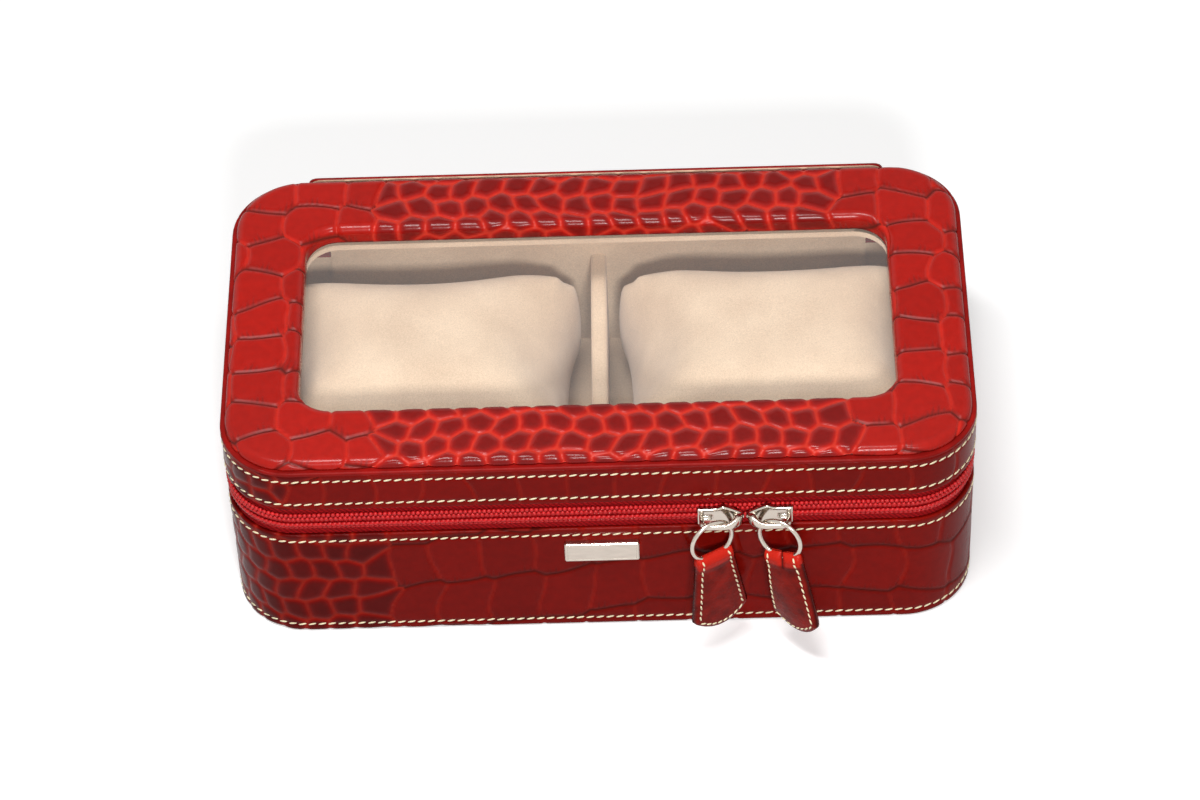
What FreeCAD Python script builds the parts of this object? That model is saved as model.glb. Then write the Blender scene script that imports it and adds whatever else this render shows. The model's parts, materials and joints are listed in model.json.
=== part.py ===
# Leather watch case: zip closure, windowed and padded lid, two cushions, two leather zip pulls.
# Millimetres. +X is to the right, +Y to the rear, +Z up; the origin is the centre of the underside.
import FreeCAD, Part
import math
import os
import Sketcher

# Driving sizes, in millimetres; names that end in _angle are in degrees
SIZES = {
    # outline of the case and the layers of its walls
    "case_length": 200.0,
    "case_depth": 108.0,
    "corner_radius": 19.2,
    "side_leather": 1.2,
    "wall_board": 2.5,
    "lining": 0.8,
    "edge_binding": 0.6,
    "foot_rounding": 0.8,
    # base
    "bottom_leather": 1.0,
    "bottom_board": 2.5,
    "base_height": 39.6,
    # inside of the base
    "panel_setback": 5.8,
    "panel_thickness": 1.6,
    "panel_rise": 9.4,
    "panel_corner": 1.2,
    "divider_thickness": 4.4,
    "divider_drop": 0.6,
    "divider_rounding": 1.4,
    "cushion_gap": 1.3,
    "cushion_rear_gap": 8.2,
    "cushion_depth": 66.0,
    "cushion_height": 46.0,
    "cushion_draw": 4.5,
    # zip
    "zip_gap": 10.4,
    "tape": 0.7,
    "tape_sewn": 7.0,
    "row_gap": 0.8,
    "coil_row": 2.8,
    "coil_depth": 1.25,
    "coil_valley": 0.55,
    "coil_pitch": 1.25,
    # lid
    "lid_band": 13.4,
    "rim_welt": 1.0,
    "welt_width": 2.4,
    "welt_rounding": 0.5,
    "top_board": 1.6,
    "side_border": 20.7,
    "front_border": 21.2,
    "window_radius": 8.6,
    "top_pad": 2.6,
    "top_leather": 0.9,
    "top_rounding": 2.4,
    "seam_gap": 0.1,
    "pane": 1.5,
    "pane_clearance": 0.15,
    "lining_frame": 1.8,
    "frame_reveal": 0.4,
    # hinge
    "hinge_setback": 0.8,
    "hinge_leather": 1.2,
    "hinge_sewn": 17.6,
    "hinge_rise": 0.7,
    "hinge_corner": 3.0,
    # nameplate
    "plate_length": 20.0,
    "plate_height": 7.0,
    "plate_thickness": 1.6,
    "plate_drop": 4.6,
    "plate_corner": 0.6,
    "plate_bevel": 0.5,
    # sliders, measured from the tip of the nose
    "meeting_x": 38.2,
    "nose_gap": 0.4,
    "slider_length": 12.4,
    "slider_height": 7.6,
    "nose_length": 5.6,
    "nose_rounding": 1.2,
    "tail_rounding": 0.8,
    "front_plate": 1.1,
    "back_plate": 0.9,
    "plate_rounding": 0.45,
    "coil_clearance": 0.15,
    "tape_clearance": 0.2,
    "post_thickness": 0.5,
    "post_length": 4.0,
    "post_setback": 1.6,
    "crown_setback": 0.4,
    "crown_reach": 5.0,
    "crown_bar": 1.3,
    "crown_height": 1.8,
    "crown_bend": 1.4,
    "crown_rounding": 0.5,
    # rings
    "ring_radius": 5.55,
    "ring_wire": 1.24,
    "ring_seat": 7.6,
    "ring_side": 0.45,
    "ring_drop": 3.7,
    "ring_turn_angle": 29.0,
    "ring_lean_angle": 6.0,
    # leather pulls, measured from the centre of the ring
    "tab_layer": 1.1,
    "tab_eye_clearance": 0.22,
    "tab_loop_wall": 0.9,
    "tab_loop_angle": 100.0,
    "tab_neck_width": 8.6,
    "tab_width": 15.0,
    "tab_corner_depth": 27.0,
    "tab_bottom_curve": 11.0,
    "tab_rounding": 1.6,
    "left_tab_angle": 3.0,
    "right_tab_angle": 14.0,
}

# Sections of a stuffed cushion: share of the height, of the spread and of the drawn-in side
CUSHION_SECTIONS = (
    (0.00, 0.86, 0.50),
    (0.22, 0.97, 0.90),
    (0.50, 1.00, 1.00),
    (0.76, 0.95, 0.85),
    (0.92, 0.80, 0.50),
    (1.00, 0.50, 0.15),
)

START, END = 1, 2
ORIGIN_POINT = (-1, 1)
TOLERANCE = 1e-6


class Size:
    """A length that is known as a number and as the expression that objects are bound to."""

    def __init__(self, number, text):
        self.number = number
        self.text = text

    def joined(self, sign, other, number):
        return Size(number, f"({self.text} {sign} {other.text})")

    def __add__(self, other):
        other = as_size(other)
        return self.joined("+", other, self.number + other.number)

    def __sub__(self, other):
        other = as_size(other)
        return self.joined("-", other, self.number - other.number)

    def __mul__(self, other):
        other = as_size(other)
        return self.joined("*", other, self.number * other.number)

    def __truediv__(self, other):
        other = as_size(other)
        return self.joined("/", other, self.number / other.number)

    def __neg__(self):
        return Size(-self.number, f"(0 - {self.text})")

    def __rmul__(self, other):
        return as_size(other) * self


def as_size(amount):
    """Gives a plain number the form of a size."""
    if isinstance(amount, Size):
        return amount
    return Size(float(amount), repr(float(amount)))


class Sheet:
    """The document's spreadsheet, with each cell read by its alias."""

    def __init__(self, document):
        self.cells = document.addObject("Spreadsheet::Sheet", "sizes")
        for row, (alias, number) in enumerate(SIZES.items(), 1):
            self.cells.set(f"A{row}", alias)
            self.cells.set(f"B{row}", repr(number))
            self.cells.setAlias(f"B{row}", alias)
        document.recompute()

    def __getattr__(self, alias):
        return Size(float(self.cells.get(alias)), f"sizes.{alias}")


doc = FreeCAD.newDocument("watch_case")
size = Sheet(doc)
pieces = []


def bind(item, prop, amount):
    """Binds a property to the sheet."""
    item.setExpression(prop, as_size(amount).text)


def place(item, x=None, y=None, z=None):
    """Binds the given coordinates of an object's Placement to the sheet."""
    for axis, amount in (("x", x), ("y", y), ("z", z)):
        if amount is not None:
            bind(item, f"Placement.Base.{axis}", amount)


def keep(item, label):
    """Names an object and puts it on the list of pieces."""
    item.Label = label
    pieces.append(item)
    return item


# Sketches and features

def new_sketch(body, name, role, level=None):
    """Makes a sketch on one of the body's own origin planes, raised along its normal."""
    sketch = body.newObject("Sketcher::SketchObject", f"{body.Name}_{name}")
    plane = next(part for part in body.Origin.OriginFeatures if part.Role == role)
    sketch.AttachmentSupport = [(plane, "")]
    sketch.MapMode = "FlatFace"
    if level is not None:
        bind(sketch, "AttachmentOffset.Base.z", level)
    return sketch


def dimension(sketch, kind, name, amount, *points):
    """Adds a named dimension that is bound to the sheet."""
    index = sketch.addConstraint(Sketcher.Constraint(kind, *points, amount.number))
    sketch.renameConstraint(index, name)
    bind(sketch, f"Constraints.{name}", amount)


def add_arc(sketch, centre, radius, first_angle, last_angle):
    """Draws an arc that runs anticlockwise between two angles in radians."""
    circle = Part.Circle(FreeCAD.Vector(*centre, 0), FreeCAD.Vector(0, 0, 1), radius)
    return sketch.addGeometry(Part.ArcOfCircle(circle, first_angle, last_angle))


def add_line(sketch, start, end):
    """Draws a straight line."""
    return sketch.addGeometry(Part.LineSegment(FreeCAD.Vector(*start, 0), FreeCAD.Vector(*end, 0)))


def add_rounded_rectangle(sketch, name, length, depth, radius):
    """Draws a rectangle with round corners, centred on the sketch's origin."""
    x, y, r = length.number / 2, depth.number / 2, radius.number
    ends = (((r - x, -y), (x - r, -y)), ((x, r - y), (x, y - r)),
            ((x - r, y), (r - x, y)), ((-x, y - r), (-x, r - y)))
    centres = ((x - r, r - y), (x - r, y - r), (r - x, y - r), (r - x, r - y))
    lines, arcs = [], []
    for quarter in range(4):
        lines.append(add_line(sketch, *ends[quarter]))
        turn = (quarter - 1) * math.pi / 2
        arcs.append(add_arc(sketch, centres[quarter], r, turn, turn + math.pi / 2))
    for quarter in range(4):
        following = lines[(quarter + 1) % 4]
        sketch.addConstraint(Sketcher.Constraint("Tangent", lines[quarter], END, arcs[quarter], START))
        sketch.addConstraint(Sketcher.Constraint("Tangent", arcs[quarter], END, following, START))
    for quarter in range(3):
        sketch.addConstraint(Sketcher.Constraint("Equal", arcs[0], arcs[quarter + 1]))
    sketch.addConstraint(Sketcher.Constraint("Horizontal", lines[2]))
    sketch.addConstraint(Sketcher.Constraint("Vertical", lines[3]))
    for line, axis in ((lines[0], -2), (lines[1], -1)):
        sketch.addConstraint(Sketcher.Constraint("Symmetric", line, START, line, END, axis))
    dimension(sketch, "DistanceX", f"{name}_length", length, lines[3], START, lines[1], START)
    dimension(sketch, "DistanceY", f"{name}_depth", depth, lines[0], START, lines[2], START)
    dimension(sketch, "Radius", f"{name}_radius", radius, arcs[0])


def fix_point(sketch, name, geometry, point, x, y):
    """Holds a point at its coordinates, measured from the sketch's origin."""
    for kind, amount, axis, axis_line in (("DistanceX", x, "x", -2), ("DistanceY", y, "y", -1)):
        if abs(amount.number) < TOLERANCE:
            sketch.addConstraint(Sketcher.Constraint("PointOnObject", geometry, point, axis_line))
        elif amount.number > 0:
            dimension(sketch, kind, f"{name}_{axis}", amount, *ORIGIN_POINT, geometry, point)
        else:
            dimension(sketch, kind, f"{name}_{axis}", -amount, geometry, point, *ORIGIN_POINT)


def add_outline(sketch, corners, closed=True):
    """Draws an anticlockwise outline, or an open line from the first corner to the last.

    Each corner is (x, y, curve): the edge that leaves it is straight when curve is None, an arc of that
    radius that swells outwards when curve is positive, and one that is drawn in when it is negative.
    """
    starts = []
    drawn = corners if closed else corners[:-1]
    for number, (x, y, curve) in enumerate(drawn):
        after = corners[(number + 1) % len(corners)]
        here = (x.number, y.number)
        there = (after[0].number, after[1].number)
        if curve is None:
            starts.append((add_line(sketch, here, there), START, END))
            continue
        radius = abs(curve.number)
        outward = 1 if curve.number > 0 else -1
        chord = (there[0] - here[0], there[1] - here[1])
        half = math.hypot(*chord) / 2
        reach = outward * math.sqrt(radius ** 2 - half ** 2) / (2 * half)
        centre = ((here[0] + there[0]) / 2 - chord[1] * reach, (here[1] + there[1]) / 2 + chord[0] * reach)
        angles = [math.atan2(end[1] - centre[1], end[0] - centre[0]) for end in (here, there)][::outward]
        if angles[1] < angles[0]:
            angles[1] += 2 * math.pi
        arc = add_arc(sketch, centre, radius, *angles)
        starts.append((arc, START, END) if outward > 0 else (arc, END, START))
        dimension(sketch, "Radius", f"curve_{number}", curve if outward > 0 else -curve, arc)
    for number, (x, y, curve) in enumerate(drawn):
        before = starts[number - 1]
        this = starts[number]
        if closed or number > 0:
            sketch.addConstraint(Sketcher.Constraint("Coincident", before[0], before[2], this[0], this[1]))
        fix_point(sketch, f"corner_{number}", this[0], this[1], x, y)
    if not closed:
        fix_point(sketch, "corner_last", starts[-1][0], starts[-1][2], corners[-1][0], corners[-1][1])


def new_body(label):
    """Makes an empty body."""
    body = doc.addObject("PartDesign::Body", label)
    body.Label = label
    return body


def pad(body, sketch, amount):
    """Extrudes a sketch along its normal."""
    feature = body.newObject("PartDesign::Pad", f"{sketch.Name}_pad")
    feature.Profile = sketch
    bind(feature, "Length", amount)
    return feature


def round_edges(body, name, radius, edges):
    """Rounds edges of the body's last feature."""
    base = body.Tip
    names = [f"Edge{number}" for number, edge in enumerate(base.Shape.Edges, 1)
             if any(edge.isSame(chosen) for chosen in edges)]
    fillet = body.newObject("PartDesign::Fillet", f"{body.Name}_{name}")
    fillet.Base = (base, names)
    bind(fillet, "Radius", radius)
    doc.recompute()


def end_face(body, direction):
    """Finds the body's flat face that lies furthest in a direction and looks that way."""
    doc.recompute()
    facing = [face for face in body.Tip.Shape.Faces
              if face.Surface.TypeId == "Part::GeomPlane"
              and (face.normalAt(0, 0) - direction).Length < TOLERANCE]
    return max(facing, key=lambda face: face.CenterOfMass.dot(direction))


def edges_along(body, direction, test):
    """Finds the body's straight edges along a direction whose middle passes a test."""
    doc.recompute()
    found = []
    for edge in body.Tip.Shape.Edges:
        if edge.Curve.TypeId != "Part::GeomLine":
            continue
        if abs(abs(edge.tangentAt(edge.FirstParameter).dot(direction)) - 1) > TOLERANCE:
            continue
        if test(edge.CenterOfMass):
            found.append(edge)
    return found


UP = FreeCAD.Vector(0, 0, 1)
DOWN = FreeCAD.Vector(0, 0, -1)
FRONT = FreeCAD.Vector(0, -1, 0)


# Levels and insets that several pieces share

half_depth = size.case_depth / 2
chain_level = size.base_height + size.zip_gap / 2
lid_bottom = size.base_height + size.zip_gap
rim_level = lid_bottom + size.lid_band
floor_board_top = size.bottom_leather + size.bottom_board
floor_level = floor_board_top + size.lining
binding_bottom = size.base_height - size.edge_binding
pane_top = rim_level - size.top_board
pane_bottom = pane_top - size.pane
frame_bottom = pane_bottom - size.lining_frame
tape_inset = size.side_leather + size.tape
board_inset = size.side_leather + size.wall_board
inner_inset = board_inset + size.lining
zip_end = size.case_length / 2 - size.corner_radius
rear_wall = half_depth - inner_inset
panel_face = rear_wall - size.panel_thickness


def inset_outline(amount):
    """The case's outline, moved inwards."""
    amount = as_size(amount)
    return size.case_length - 2 * amount, size.case_depth - 2 * amount, size.corner_radius - amount


def window_outline(amount):
    """The window's outline, moved outwards."""
    amount = as_size(amount)
    length = size.case_length - 2 * (size.side_border - amount)
    depth = size.case_depth - 2 * (size.front_border - amount)
    return length, depth, size.window_radius + amount


def add_plan(body, name, outline, hole, level, height):
    """Pads a rounded rectangle, with or without a hole, between two heights of the body."""
    sketch = new_sketch(body, name, "XY_Plane", level)
    add_rounded_rectangle(sketch, "outer", *outline)
    if hole is not None:
        add_rounded_rectangle(sketch, "inner", *hole)
    return pad(body, sketch, height)


def plan_piece(label, outline, hole, bottom, top):
    """Makes a flat panel or a ring that stands between two heights of the case."""
    body = new_body(label)
    add_plan(body, "plan", outline, hole, None, top - bottom)
    place(body, z=bottom)
    return keep(body, label)


def front_piece(label, length, height, radius, thickness, y, z):
    """Makes an upright plate that faces the front, centred on x = 0, with its rear face at y."""
    body = new_body(label)
    sketch = new_sketch(body, "face", "XZ_Plane")
    add_rounded_rectangle(sketch, "outer", length, height, radius)
    pad(body, sketch, thickness)
    place(body, y=y, z=z)
    return keep(body, label)


# Base

def make_base_shell():
    """Bottom, wall, leather band and lining of the base."""
    leather = inset_outline(size.side_leather)
    board = inset_outline(board_inset)
    plan_piece("bottom_leather", leather, None, as_size(0), size.bottom_leather)
    plan_piece("bottom_board", leather, None, size.bottom_leather, floor_board_top)

    wall = new_body("base_wall_board")
    rebate = size.base_height - size.tape_sewn
    rebate_level = rebate - floor_board_top
    add_plan(wall, "lower", leather, board, None, rebate_level)
    add_plan(wall, "rebate", inset_outline(tape_inset), board, rebate_level, binding_bottom - rebate)
    place(wall, z=floor_board_top)
    keep(wall, "base_wall_board")

    band = plan_piece("base_side_leather", inset_outline(0), leather, as_size(0), size.base_height)
    round_edges(band, "foot", size.foot_rounding, end_face(band, DOWN).OuterWire.Edges)

    inside = inset_outline(inner_inset)
    plan_piece("base_top_binding", inset_outline(tape_inset), inside, binding_bottom, size.base_height)
    plan_piece("base_floor_lining", board, None, floor_board_top, floor_level)
    plan_piece("base_wall_lining", board, inside, floor_level, binding_bottom)


def make_compartments():
    """Rear flap panel and divider, which stand on the floor lining."""
    panel_height = size.base_height + size.panel_rise - floor_level
    front_piece("rear_lining_panel", 2 * (zip_end - size.panel_setback), panel_height, size.panel_corner,
                size.panel_thickness, rear_wall, floor_level + panel_height / 2)
    divider_height = size.base_height - size.divider_drop - floor_level
    front_piece("divider", size.divider_thickness, divider_height, size.divider_rounding,
                rear_wall + panel_face, panel_face, floor_level + divider_height / 2)


def make_cushion(label, side):
    """A stuffed cushion: wide at its corners, drawn in between them, crowned on top."""
    place_width = size.case_length / 2 - inner_inset - size.divider_thickness / 2
    half_length = place_width / 2 - size.cushion_gap
    half_width = size.cushion_depth / 2
    body = new_body(label)
    sections = []
    for number, (rise, spread, drawn) in enumerate(CUSHION_SECTIONS):
        section = new_sketch(body, f"section_{number}", "XY_Plane", size.cushion_height * rise)
        x = half_length * spread
        y = half_width * spread
        draw = size.cushion_draw * drawn
        long_curve = -(x * x + draw * draw) / (2 * draw)
        short_curve = -(y * y + draw * draw) / (2 * draw)
        add_outline(section, ((-x, -y, long_curve), (x, -y, short_curve),
                              (x, y, long_curve), (-x, y, short_curve)))
        sections.append(section)
    loft = body.newObject("PartDesign::AdditiveLoft", f"{label}_loft")
    loft.Profile = sections[0]
    loft.Sections = sections[1:]
    middle = (size.divider_thickness + place_width) / 2
    place(body, x=side * middle, y=panel_face - size.cushion_rear_gap - half_width, z=floor_level)
    keep(body, label)


# Lid

def make_lid_shell():
    """Wall, leather band, binding and lining of the lid."""
    leather = inset_outline(size.side_leather)
    board = inset_outline(board_inset)
    inside = inset_outline(inner_inset)
    plan_piece("lid_side_leather", inset_outline(0), leather, lid_bottom, rim_level)

    wall = new_body("lid_wall_board")
    wall_bottom = lid_bottom + size.edge_binding
    rebate = lid_bottom + size.tape_sewn
    add_plan(wall, "rebate", inset_outline(tape_inset), board, None, rebate - wall_bottom)
    add_plan(wall, "upper", leather, board, rebate - wall_bottom, pane_top - rebate)
    place(wall, z=wall_bottom)
    keep(wall, "lid_wall_board")

    plan_piece("lid_lower_binding", inset_outline(tape_inset), inside, lid_bottom, wall_bottom)
    plan_piece("lid_wall_lining", board, inside, wall_bottom, frame_bottom)


def make_lid_top():
    """Board, foam, leather and welt round the window, and the pane with its lining frame."""
    plan_piece("lid_top_board", inset_outline(size.side_leather), window_outline(size.top_leather),
               pane_top, rim_level)
    welt = plan_piece("lid_rim_welt", inset_outline(0), inset_outline(size.welt_width),
                      rim_level, rim_level + size.rim_welt)
    round_edges(welt, "edge", size.welt_rounding, end_face(welt, UP).OuterWire.Edges)

    skin_inset = size.welt_width + size.seam_gap
    foam_inset = skin_inset + size.top_leather
    foam = plan_piece("lid_top_pad", inset_outline(foam_inset), window_outline(size.top_leather),
                      rim_level, rim_level + size.top_pad)
    round_edges(foam, "crown", size.top_rounding - size.top_leather, end_face(foam, UP).Edges)

    skin = new_body("lid_top_skin")
    add_plan(skin, "top", inset_outline(skin_inset), window_outline(0), None, size.top_pad + size.top_leather)
    add_plan(skin, "turned_edge", window_outline(size.top_leather), window_outline(0),
             -size.top_board, size.top_board)
    place(skin, z=rim_level)
    round_edges(skin, "crown", size.top_rounding, end_face(skin, UP).Edges)
    cover = doc.addObject("Part::Cut", "lid_top_cover")
    cover.Base = skin
    cover.Tool = foam
    keep(cover, "lid_top_leather")

    seat = inset_outline(board_inset + size.pane_clearance)
    plan_piece("window_pane", seat, None, pane_bottom, pane_top)
    plan_piece("lid_lining_frame", seat, window_outline(size.frame_reveal), frame_bottom, pane_bottom)


def make_hinge():
    """Leather strip along the rear, sewn to the base below and to the lid above."""
    top = rim_level + size.rim_welt + size.hinge_rise
    bottom = size.base_height - size.hinge_sewn
    front_piece("hinge_strip", 2 * (zip_end - size.hinge_setback), top - bottom, size.hinge_corner,
                size.hinge_leather, half_depth + size.hinge_leather, (top + bottom) / 2)


def make_nameplate():
    """Plain metal plate with a bevelled face."""
    plate = front_piece("nameplate", size.plate_length, size.plate_height, size.plate_corner,
                        size.plate_thickness, -half_depth,
                        size.base_height - size.plate_drop - size.plate_height / 2)
    round_edges(plate, "bevel", size.plate_bevel, end_face(plate, FRONT).Edges)


# Zip

def make_tape(label, bottom, top):
    """Tape half: a ring between leather and board, open where the hinge is."""
    ring = new_body(f"{label}_ring")
    add_plan(ring, "plan", inset_outline(size.side_leather), inset_outline(tape_inset), None, top - bottom)
    place(ring, z=bottom)
    opening = doc.addObject("Part::Box", f"{label}_hinge_opening")
    bind(opening, "Length", 2 * zip_end)
    bind(opening, "Width", half_depth)
    bind(opening, "Height", top - bottom)
    place(opening, x=-zip_end, y=as_size(0), z=bottom)
    tape = doc.addObject("Part::Cut", f"{label}_open")
    tape.Base = ring
    tape.Tool = opening
    keep(tape, label)


def zip_stretches(inset):
    """Runs and corners of the zip's path, from the left end of the hinge round to its right end.

    Each is (start, direction, length) for a run, or (centre, first angle, radius) for a corner that
    turns a quarter anticlockwise.
    """
    x, y = size.case_length.number / 2, size.case_depth.number / 2
    r = size.corner_radius.number
    arc = r - inset
    quarter = math.pi / 2
    return (
        ((r - x, y - r), quarter, arc),
        ((inset - x, y - r), (0, -1), 2 * (y - r)),
        ((r - x, r - y), 2 * quarter, arc),
        ((r - x, inset - y), (1, 0), 2 * (x - r)),
        ((x - r, r - y), 3 * quarter, arc),
        ((x - inset, r - y), (0, 1), 2 * (y - r)),
        ((x - r, y - r), 0.0, arc),
    )


def comb_points(inset, valley, pitch, phase):
    """Points of a toothed line along the zip: crests at the inset, valleys further in."""
    points = []
    for start, turn, extent in zip_stretches(inset):
        corner = not isinstance(turn, tuple)
        length = extent * math.pi / 2 if corner else extent
        steps = 2 * max(1, round(length / pitch))
        for step in range(steps):
            share = (step + phase) / steps
            depth = 0.0 if step % 2 == 0 else valley
            if corner:
                angle = turn + share * math.pi / 2
                reach = extent - depth
                points.append((start[0] + reach * math.cos(angle), start[1] + reach * math.sin(angle)))
            else:
                points.append((start[0] + share * length * turn[0] - depth * turn[1],
                               start[1] + share * length * turn[1] + depth * turn[0]))
    return [FreeCAD.Vector(x, y, 0) for x, y in points]


def path_edges(inset):
    """The zip's path at an inset, as lines and arcs."""
    edges = []
    for start, turn, extent in zip_stretches(inset):
        if isinstance(turn, tuple):
            last = (start[0] + turn[0] * extent, start[1] + turn[1] * extent)
            edges.append(Part.LineSegment(FreeCAD.Vector(*start, 0), FreeCAD.Vector(*last, 0)).toShape())
            continue
        bends = [turn + share * math.pi / 4 for share in range(3)]
        ends = [FreeCAD.Vector(start[0] + extent * math.cos(bend), start[1] + extent * math.sin(bend), 0)
                for bend in bends]
        edges.append(Part.Arc(*ends).toShape())
    return edges


def make_coil(label, bottom, phase):
    """One row of the zip's coil: a toothed strip that stands on the outer face of its tape."""
    back = size.side_leather.number
    crest = back - size.coil_depth.number
    path = path_edges(back)
    teeth = comb_points(crest, size.coil_valley.number, size.coil_pitch.number, phase)
    first = path[0].Vertexes[0].Point
    last = path[-1].Vertexes[-1].Point
    outline = Part.makePolygon([first, *teeth, last])
    face = Part.Face(Part.Wire([*outline.Edges, *reversed(path)]))
    coil = doc.addObject("Part::Feature", label)
    coil.Shape = face.extrude(FreeCAD.Vector(0, 0, size.coil_row.number))
    coil.Placement.Base = FreeCAD.Vector(0, 0, bottom.number)
    keep(coil, label)


def make_zip():
    """Both halves of the zip, with a slit between the rows for the sliders' posts."""
    lower_edge = chain_level - size.row_gap / 2
    upper_edge = chain_level + size.row_gap / 2
    make_tape("zip_tape_lower", size.base_height - size.tape_sewn, lower_edge)
    make_tape("zip_tape_upper", upper_edge, lid_bottom + size.tape_sewn)
    make_coil("zip_coil_lower", lower_edge - size.coil_row, 0.0)
    make_coil("zip_coil_upper", upper_edge, 0.5)


# Sliders and pulls

def slider_outline(shrink):
    """Flat tail, parallel sides and a pointed nose at the origin, seen from the front."""
    half = size.slider_height / 2 - shrink
    tail = shrink - size.slider_length
    shoulder = -size.nose_length
    nose = size.nose_length - shrink
    curve = (nose * nose + half * half) / (2 * half)
    zero = as_size(0)
    return ((tail, -half, None), (shoulder, -half, curve), (-shrink, zero, curve),
            (shoulder, half, None), (tail, half, None))


def make_slider(label, side):
    """Zip slider: front and back plate, the post between the rows, and the crown that holds the ring."""
    stand_off = size.coil_depth - size.side_leather + size.coil_clearance
    behind = tape_inset + size.tape_clearance
    body = new_body(label)
    front = new_sketch(body, "front_plate", "XZ_Plane", stand_off)
    add_outline(front, slider_outline(as_size(0)))
    pad(body, front, size.front_plate)
    tail = -size.slider_length.number
    round_edges(body, "nose", size.nose_rounding,
                edges_along(body, FRONT, lambda middle: abs(middle.x) < TOLERANCE))
    round_edges(body, "tail", size.tail_rounding,
                edges_along(body, FRONT, lambda middle: abs(middle.x - tail) < TOLERANCE))
    round_edges(body, "plate_edge", size.plate_rounding, end_face(body, FRONT).Edges)

    post = new_sketch(body, "post", "XZ_Plane", -behind)
    post_front = -size.post_setback
    post_back = post_front - size.post_length
    thick = size.post_thickness / 2
    add_outline(post, ((post_back, -thick, None), (post_front, -thick, None),
                       (post_front, thick, None), (post_back, thick, None)))
    pad(body, post, behind + stand_off)

    back = new_sketch(body, "back_plate", "XZ_Plane", -behind - size.back_plate)
    add_outline(back, slider_outline(size.plate_rounding))
    pad(body, back, size.back_plate)

    make_crown(body, stand_off)
    turn = FreeCAD.Rotation(FRONT, 0 if side < 0 else 180)
    body.Placement = FreeCAD.Placement(FreeCAD.Vector(0, 0, 0), turn)
    place(body, x=size.meeting_x + side * size.nose_gap / 2, y=-half_depth, z=chain_level)
    keep(body, label)


def make_crown(body, stand_off):
    """Bridge along the slider's front, with a rounded bar for the ring."""
    foot = -stand_off - size.front_plate / 2
    bar = -size.crown_reach
    bend = size.crown_bend
    nose_post = -size.crown_setback - size.crown_bar / 2
    tail_post = size.crown_setback + size.crown_bar / 2 - size.slider_length
    path = new_sketch(body, "crown_path", "XY_Plane")
    add_outline(path, (
        (tail_post, foot, None),
        (tail_post, bar + bend, bend),
        (tail_post + bend, bar, None),
        (nose_post - bend, bar, bend),
        (nose_post, bar + bend, None),
        (nose_post, foot, None),
    ), closed=False)
    section = new_sketch(body, "crown_section", "XZ_Plane", -foot)
    bind(section, "AttachmentOffset.Base.x", tail_post)
    add_rounded_rectangle(section, "bar", size.crown_bar, size.crown_height, size.crown_rounding)
    crown = body.newObject("PartDesign::AdditivePipe", f"{body.Name}_crown")
    crown.Profile = section
    crown.Spine = path


def ring_frame(side):
    """Centre of a ring and its directions: along the ring to the right, up in its plane, and its normal.

    The crown's bar passes through the ring, so the ring is turned out of the front's plane, and its lower
    half leans away from the case.
    """
    turn = math.radians(size.ring_turn_angle.number)
    lean = math.radians(size.ring_lean_angle.number)
    across = FreeCAD.Vector(math.cos(turn), -side * math.sin(turn), 0)
    inwards = FreeCAD.Vector(side * math.sin(turn), math.cos(turn), 0)
    up = UP * math.cos(lean) + inwards * math.sin(lean)
    seat = FreeCAD.Vector(size.meeting_x.number + side * (size.nose_gap.number / 2 + size.ring_seat.number),
                          -half_depth.number - size.crown_reach.number, chain_level.number)
    centre = seat + across * (side * size.ring_side.number) - up * size.ring_drop.number
    return centre, across, up, across.cross(up)


def make_ring(label, side):
    """Round wire ring that hangs in the crown."""
    centre, across, up, normal = ring_frame(side)
    ring = doc.addObject("Part::Torus", label)
    bind(ring, "Radius1", size.ring_radius)
    bind(ring, "Radius2", size.ring_wire / 2)
    ring.Placement = FreeCAD.Placement(centre, FreeCAD.Rotation(across, up, normal, "ZXY"))
    keep(ring, label)


def make_tab(label, side, angle):
    """Leather strip folded round the ring: a sleeve on the wire and two sewn layers below it."""
    neck = size.tab_neck_width / 2
    half = size.tab_width / 2
    zero = as_size(0)
    plate = new_body(f"{label}_layers")
    sketch = new_sketch(plate, "outline", "XZ_Plane", -size.tab_layer)
    add_outline(sketch, ((-half, -size.tab_corner_depth, size.tab_bottom_curve),
                         (half, -size.tab_corner_depth, None),
                         (neck, -size.ring_radius, None), (-neck, -size.ring_radius, None)))
    pad(plate, sketch, 2 * size.tab_layer)
    widest = half.number
    corners = edges_along(plate, FRONT, lambda middle: abs(abs(middle.x) - widest) < TOLERANCE)
    round_edges(plate, "corner", size.tab_rounding, corners)

    eye_radius = size.ring_wire / 2 + size.tab_eye_clearance
    loop = doc.addObject("Part::Torus", f"{label}_loop")
    bind(loop, "Radius1", size.ring_radius)
    bind(loop, "Radius2", eye_radius + size.tab_loop_wall)
    bind(loop, "Angle3", size.tab_loop_angle)
    start = -90 - size.tab_loop_angle.number / 2
    upright = FreeCAD.Rotation(FreeCAD.Vector(1, 0, 0), 90)
    loop.Placement = FreeCAD.Placement(FreeCAD.Vector(0, 0, 0), upright * FreeCAD.Rotation(UP, start))
    whole = doc.addObject("Part::Fuse", f"{label}_whole")
    whole.Base = plate
    whole.Tool = loop
    eye = doc.addObject("Part::Torus", f"{label}_eye")
    bind(eye, "Radius1", size.ring_radius)
    bind(eye, "Radius2", eye_radius)
    eye.Placement = FreeCAD.Placement(FreeCAD.Vector(0, 0, 0), upright)
    tab = doc.addObject("Part::Cut", f"{label}_folded")
    tab.Base = whole
    tab.Tool = eye
    centre, across, up, normal = ring_frame(side)
    hang = FreeCAD.Rotation(normal, angle.number) * FreeCAD.Rotation(across, -normal, up, "ZXY")
    tab.Placement = FreeCAD.Placement(centre, hang)
    keep(tab, label)


# Assembly and export

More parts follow.
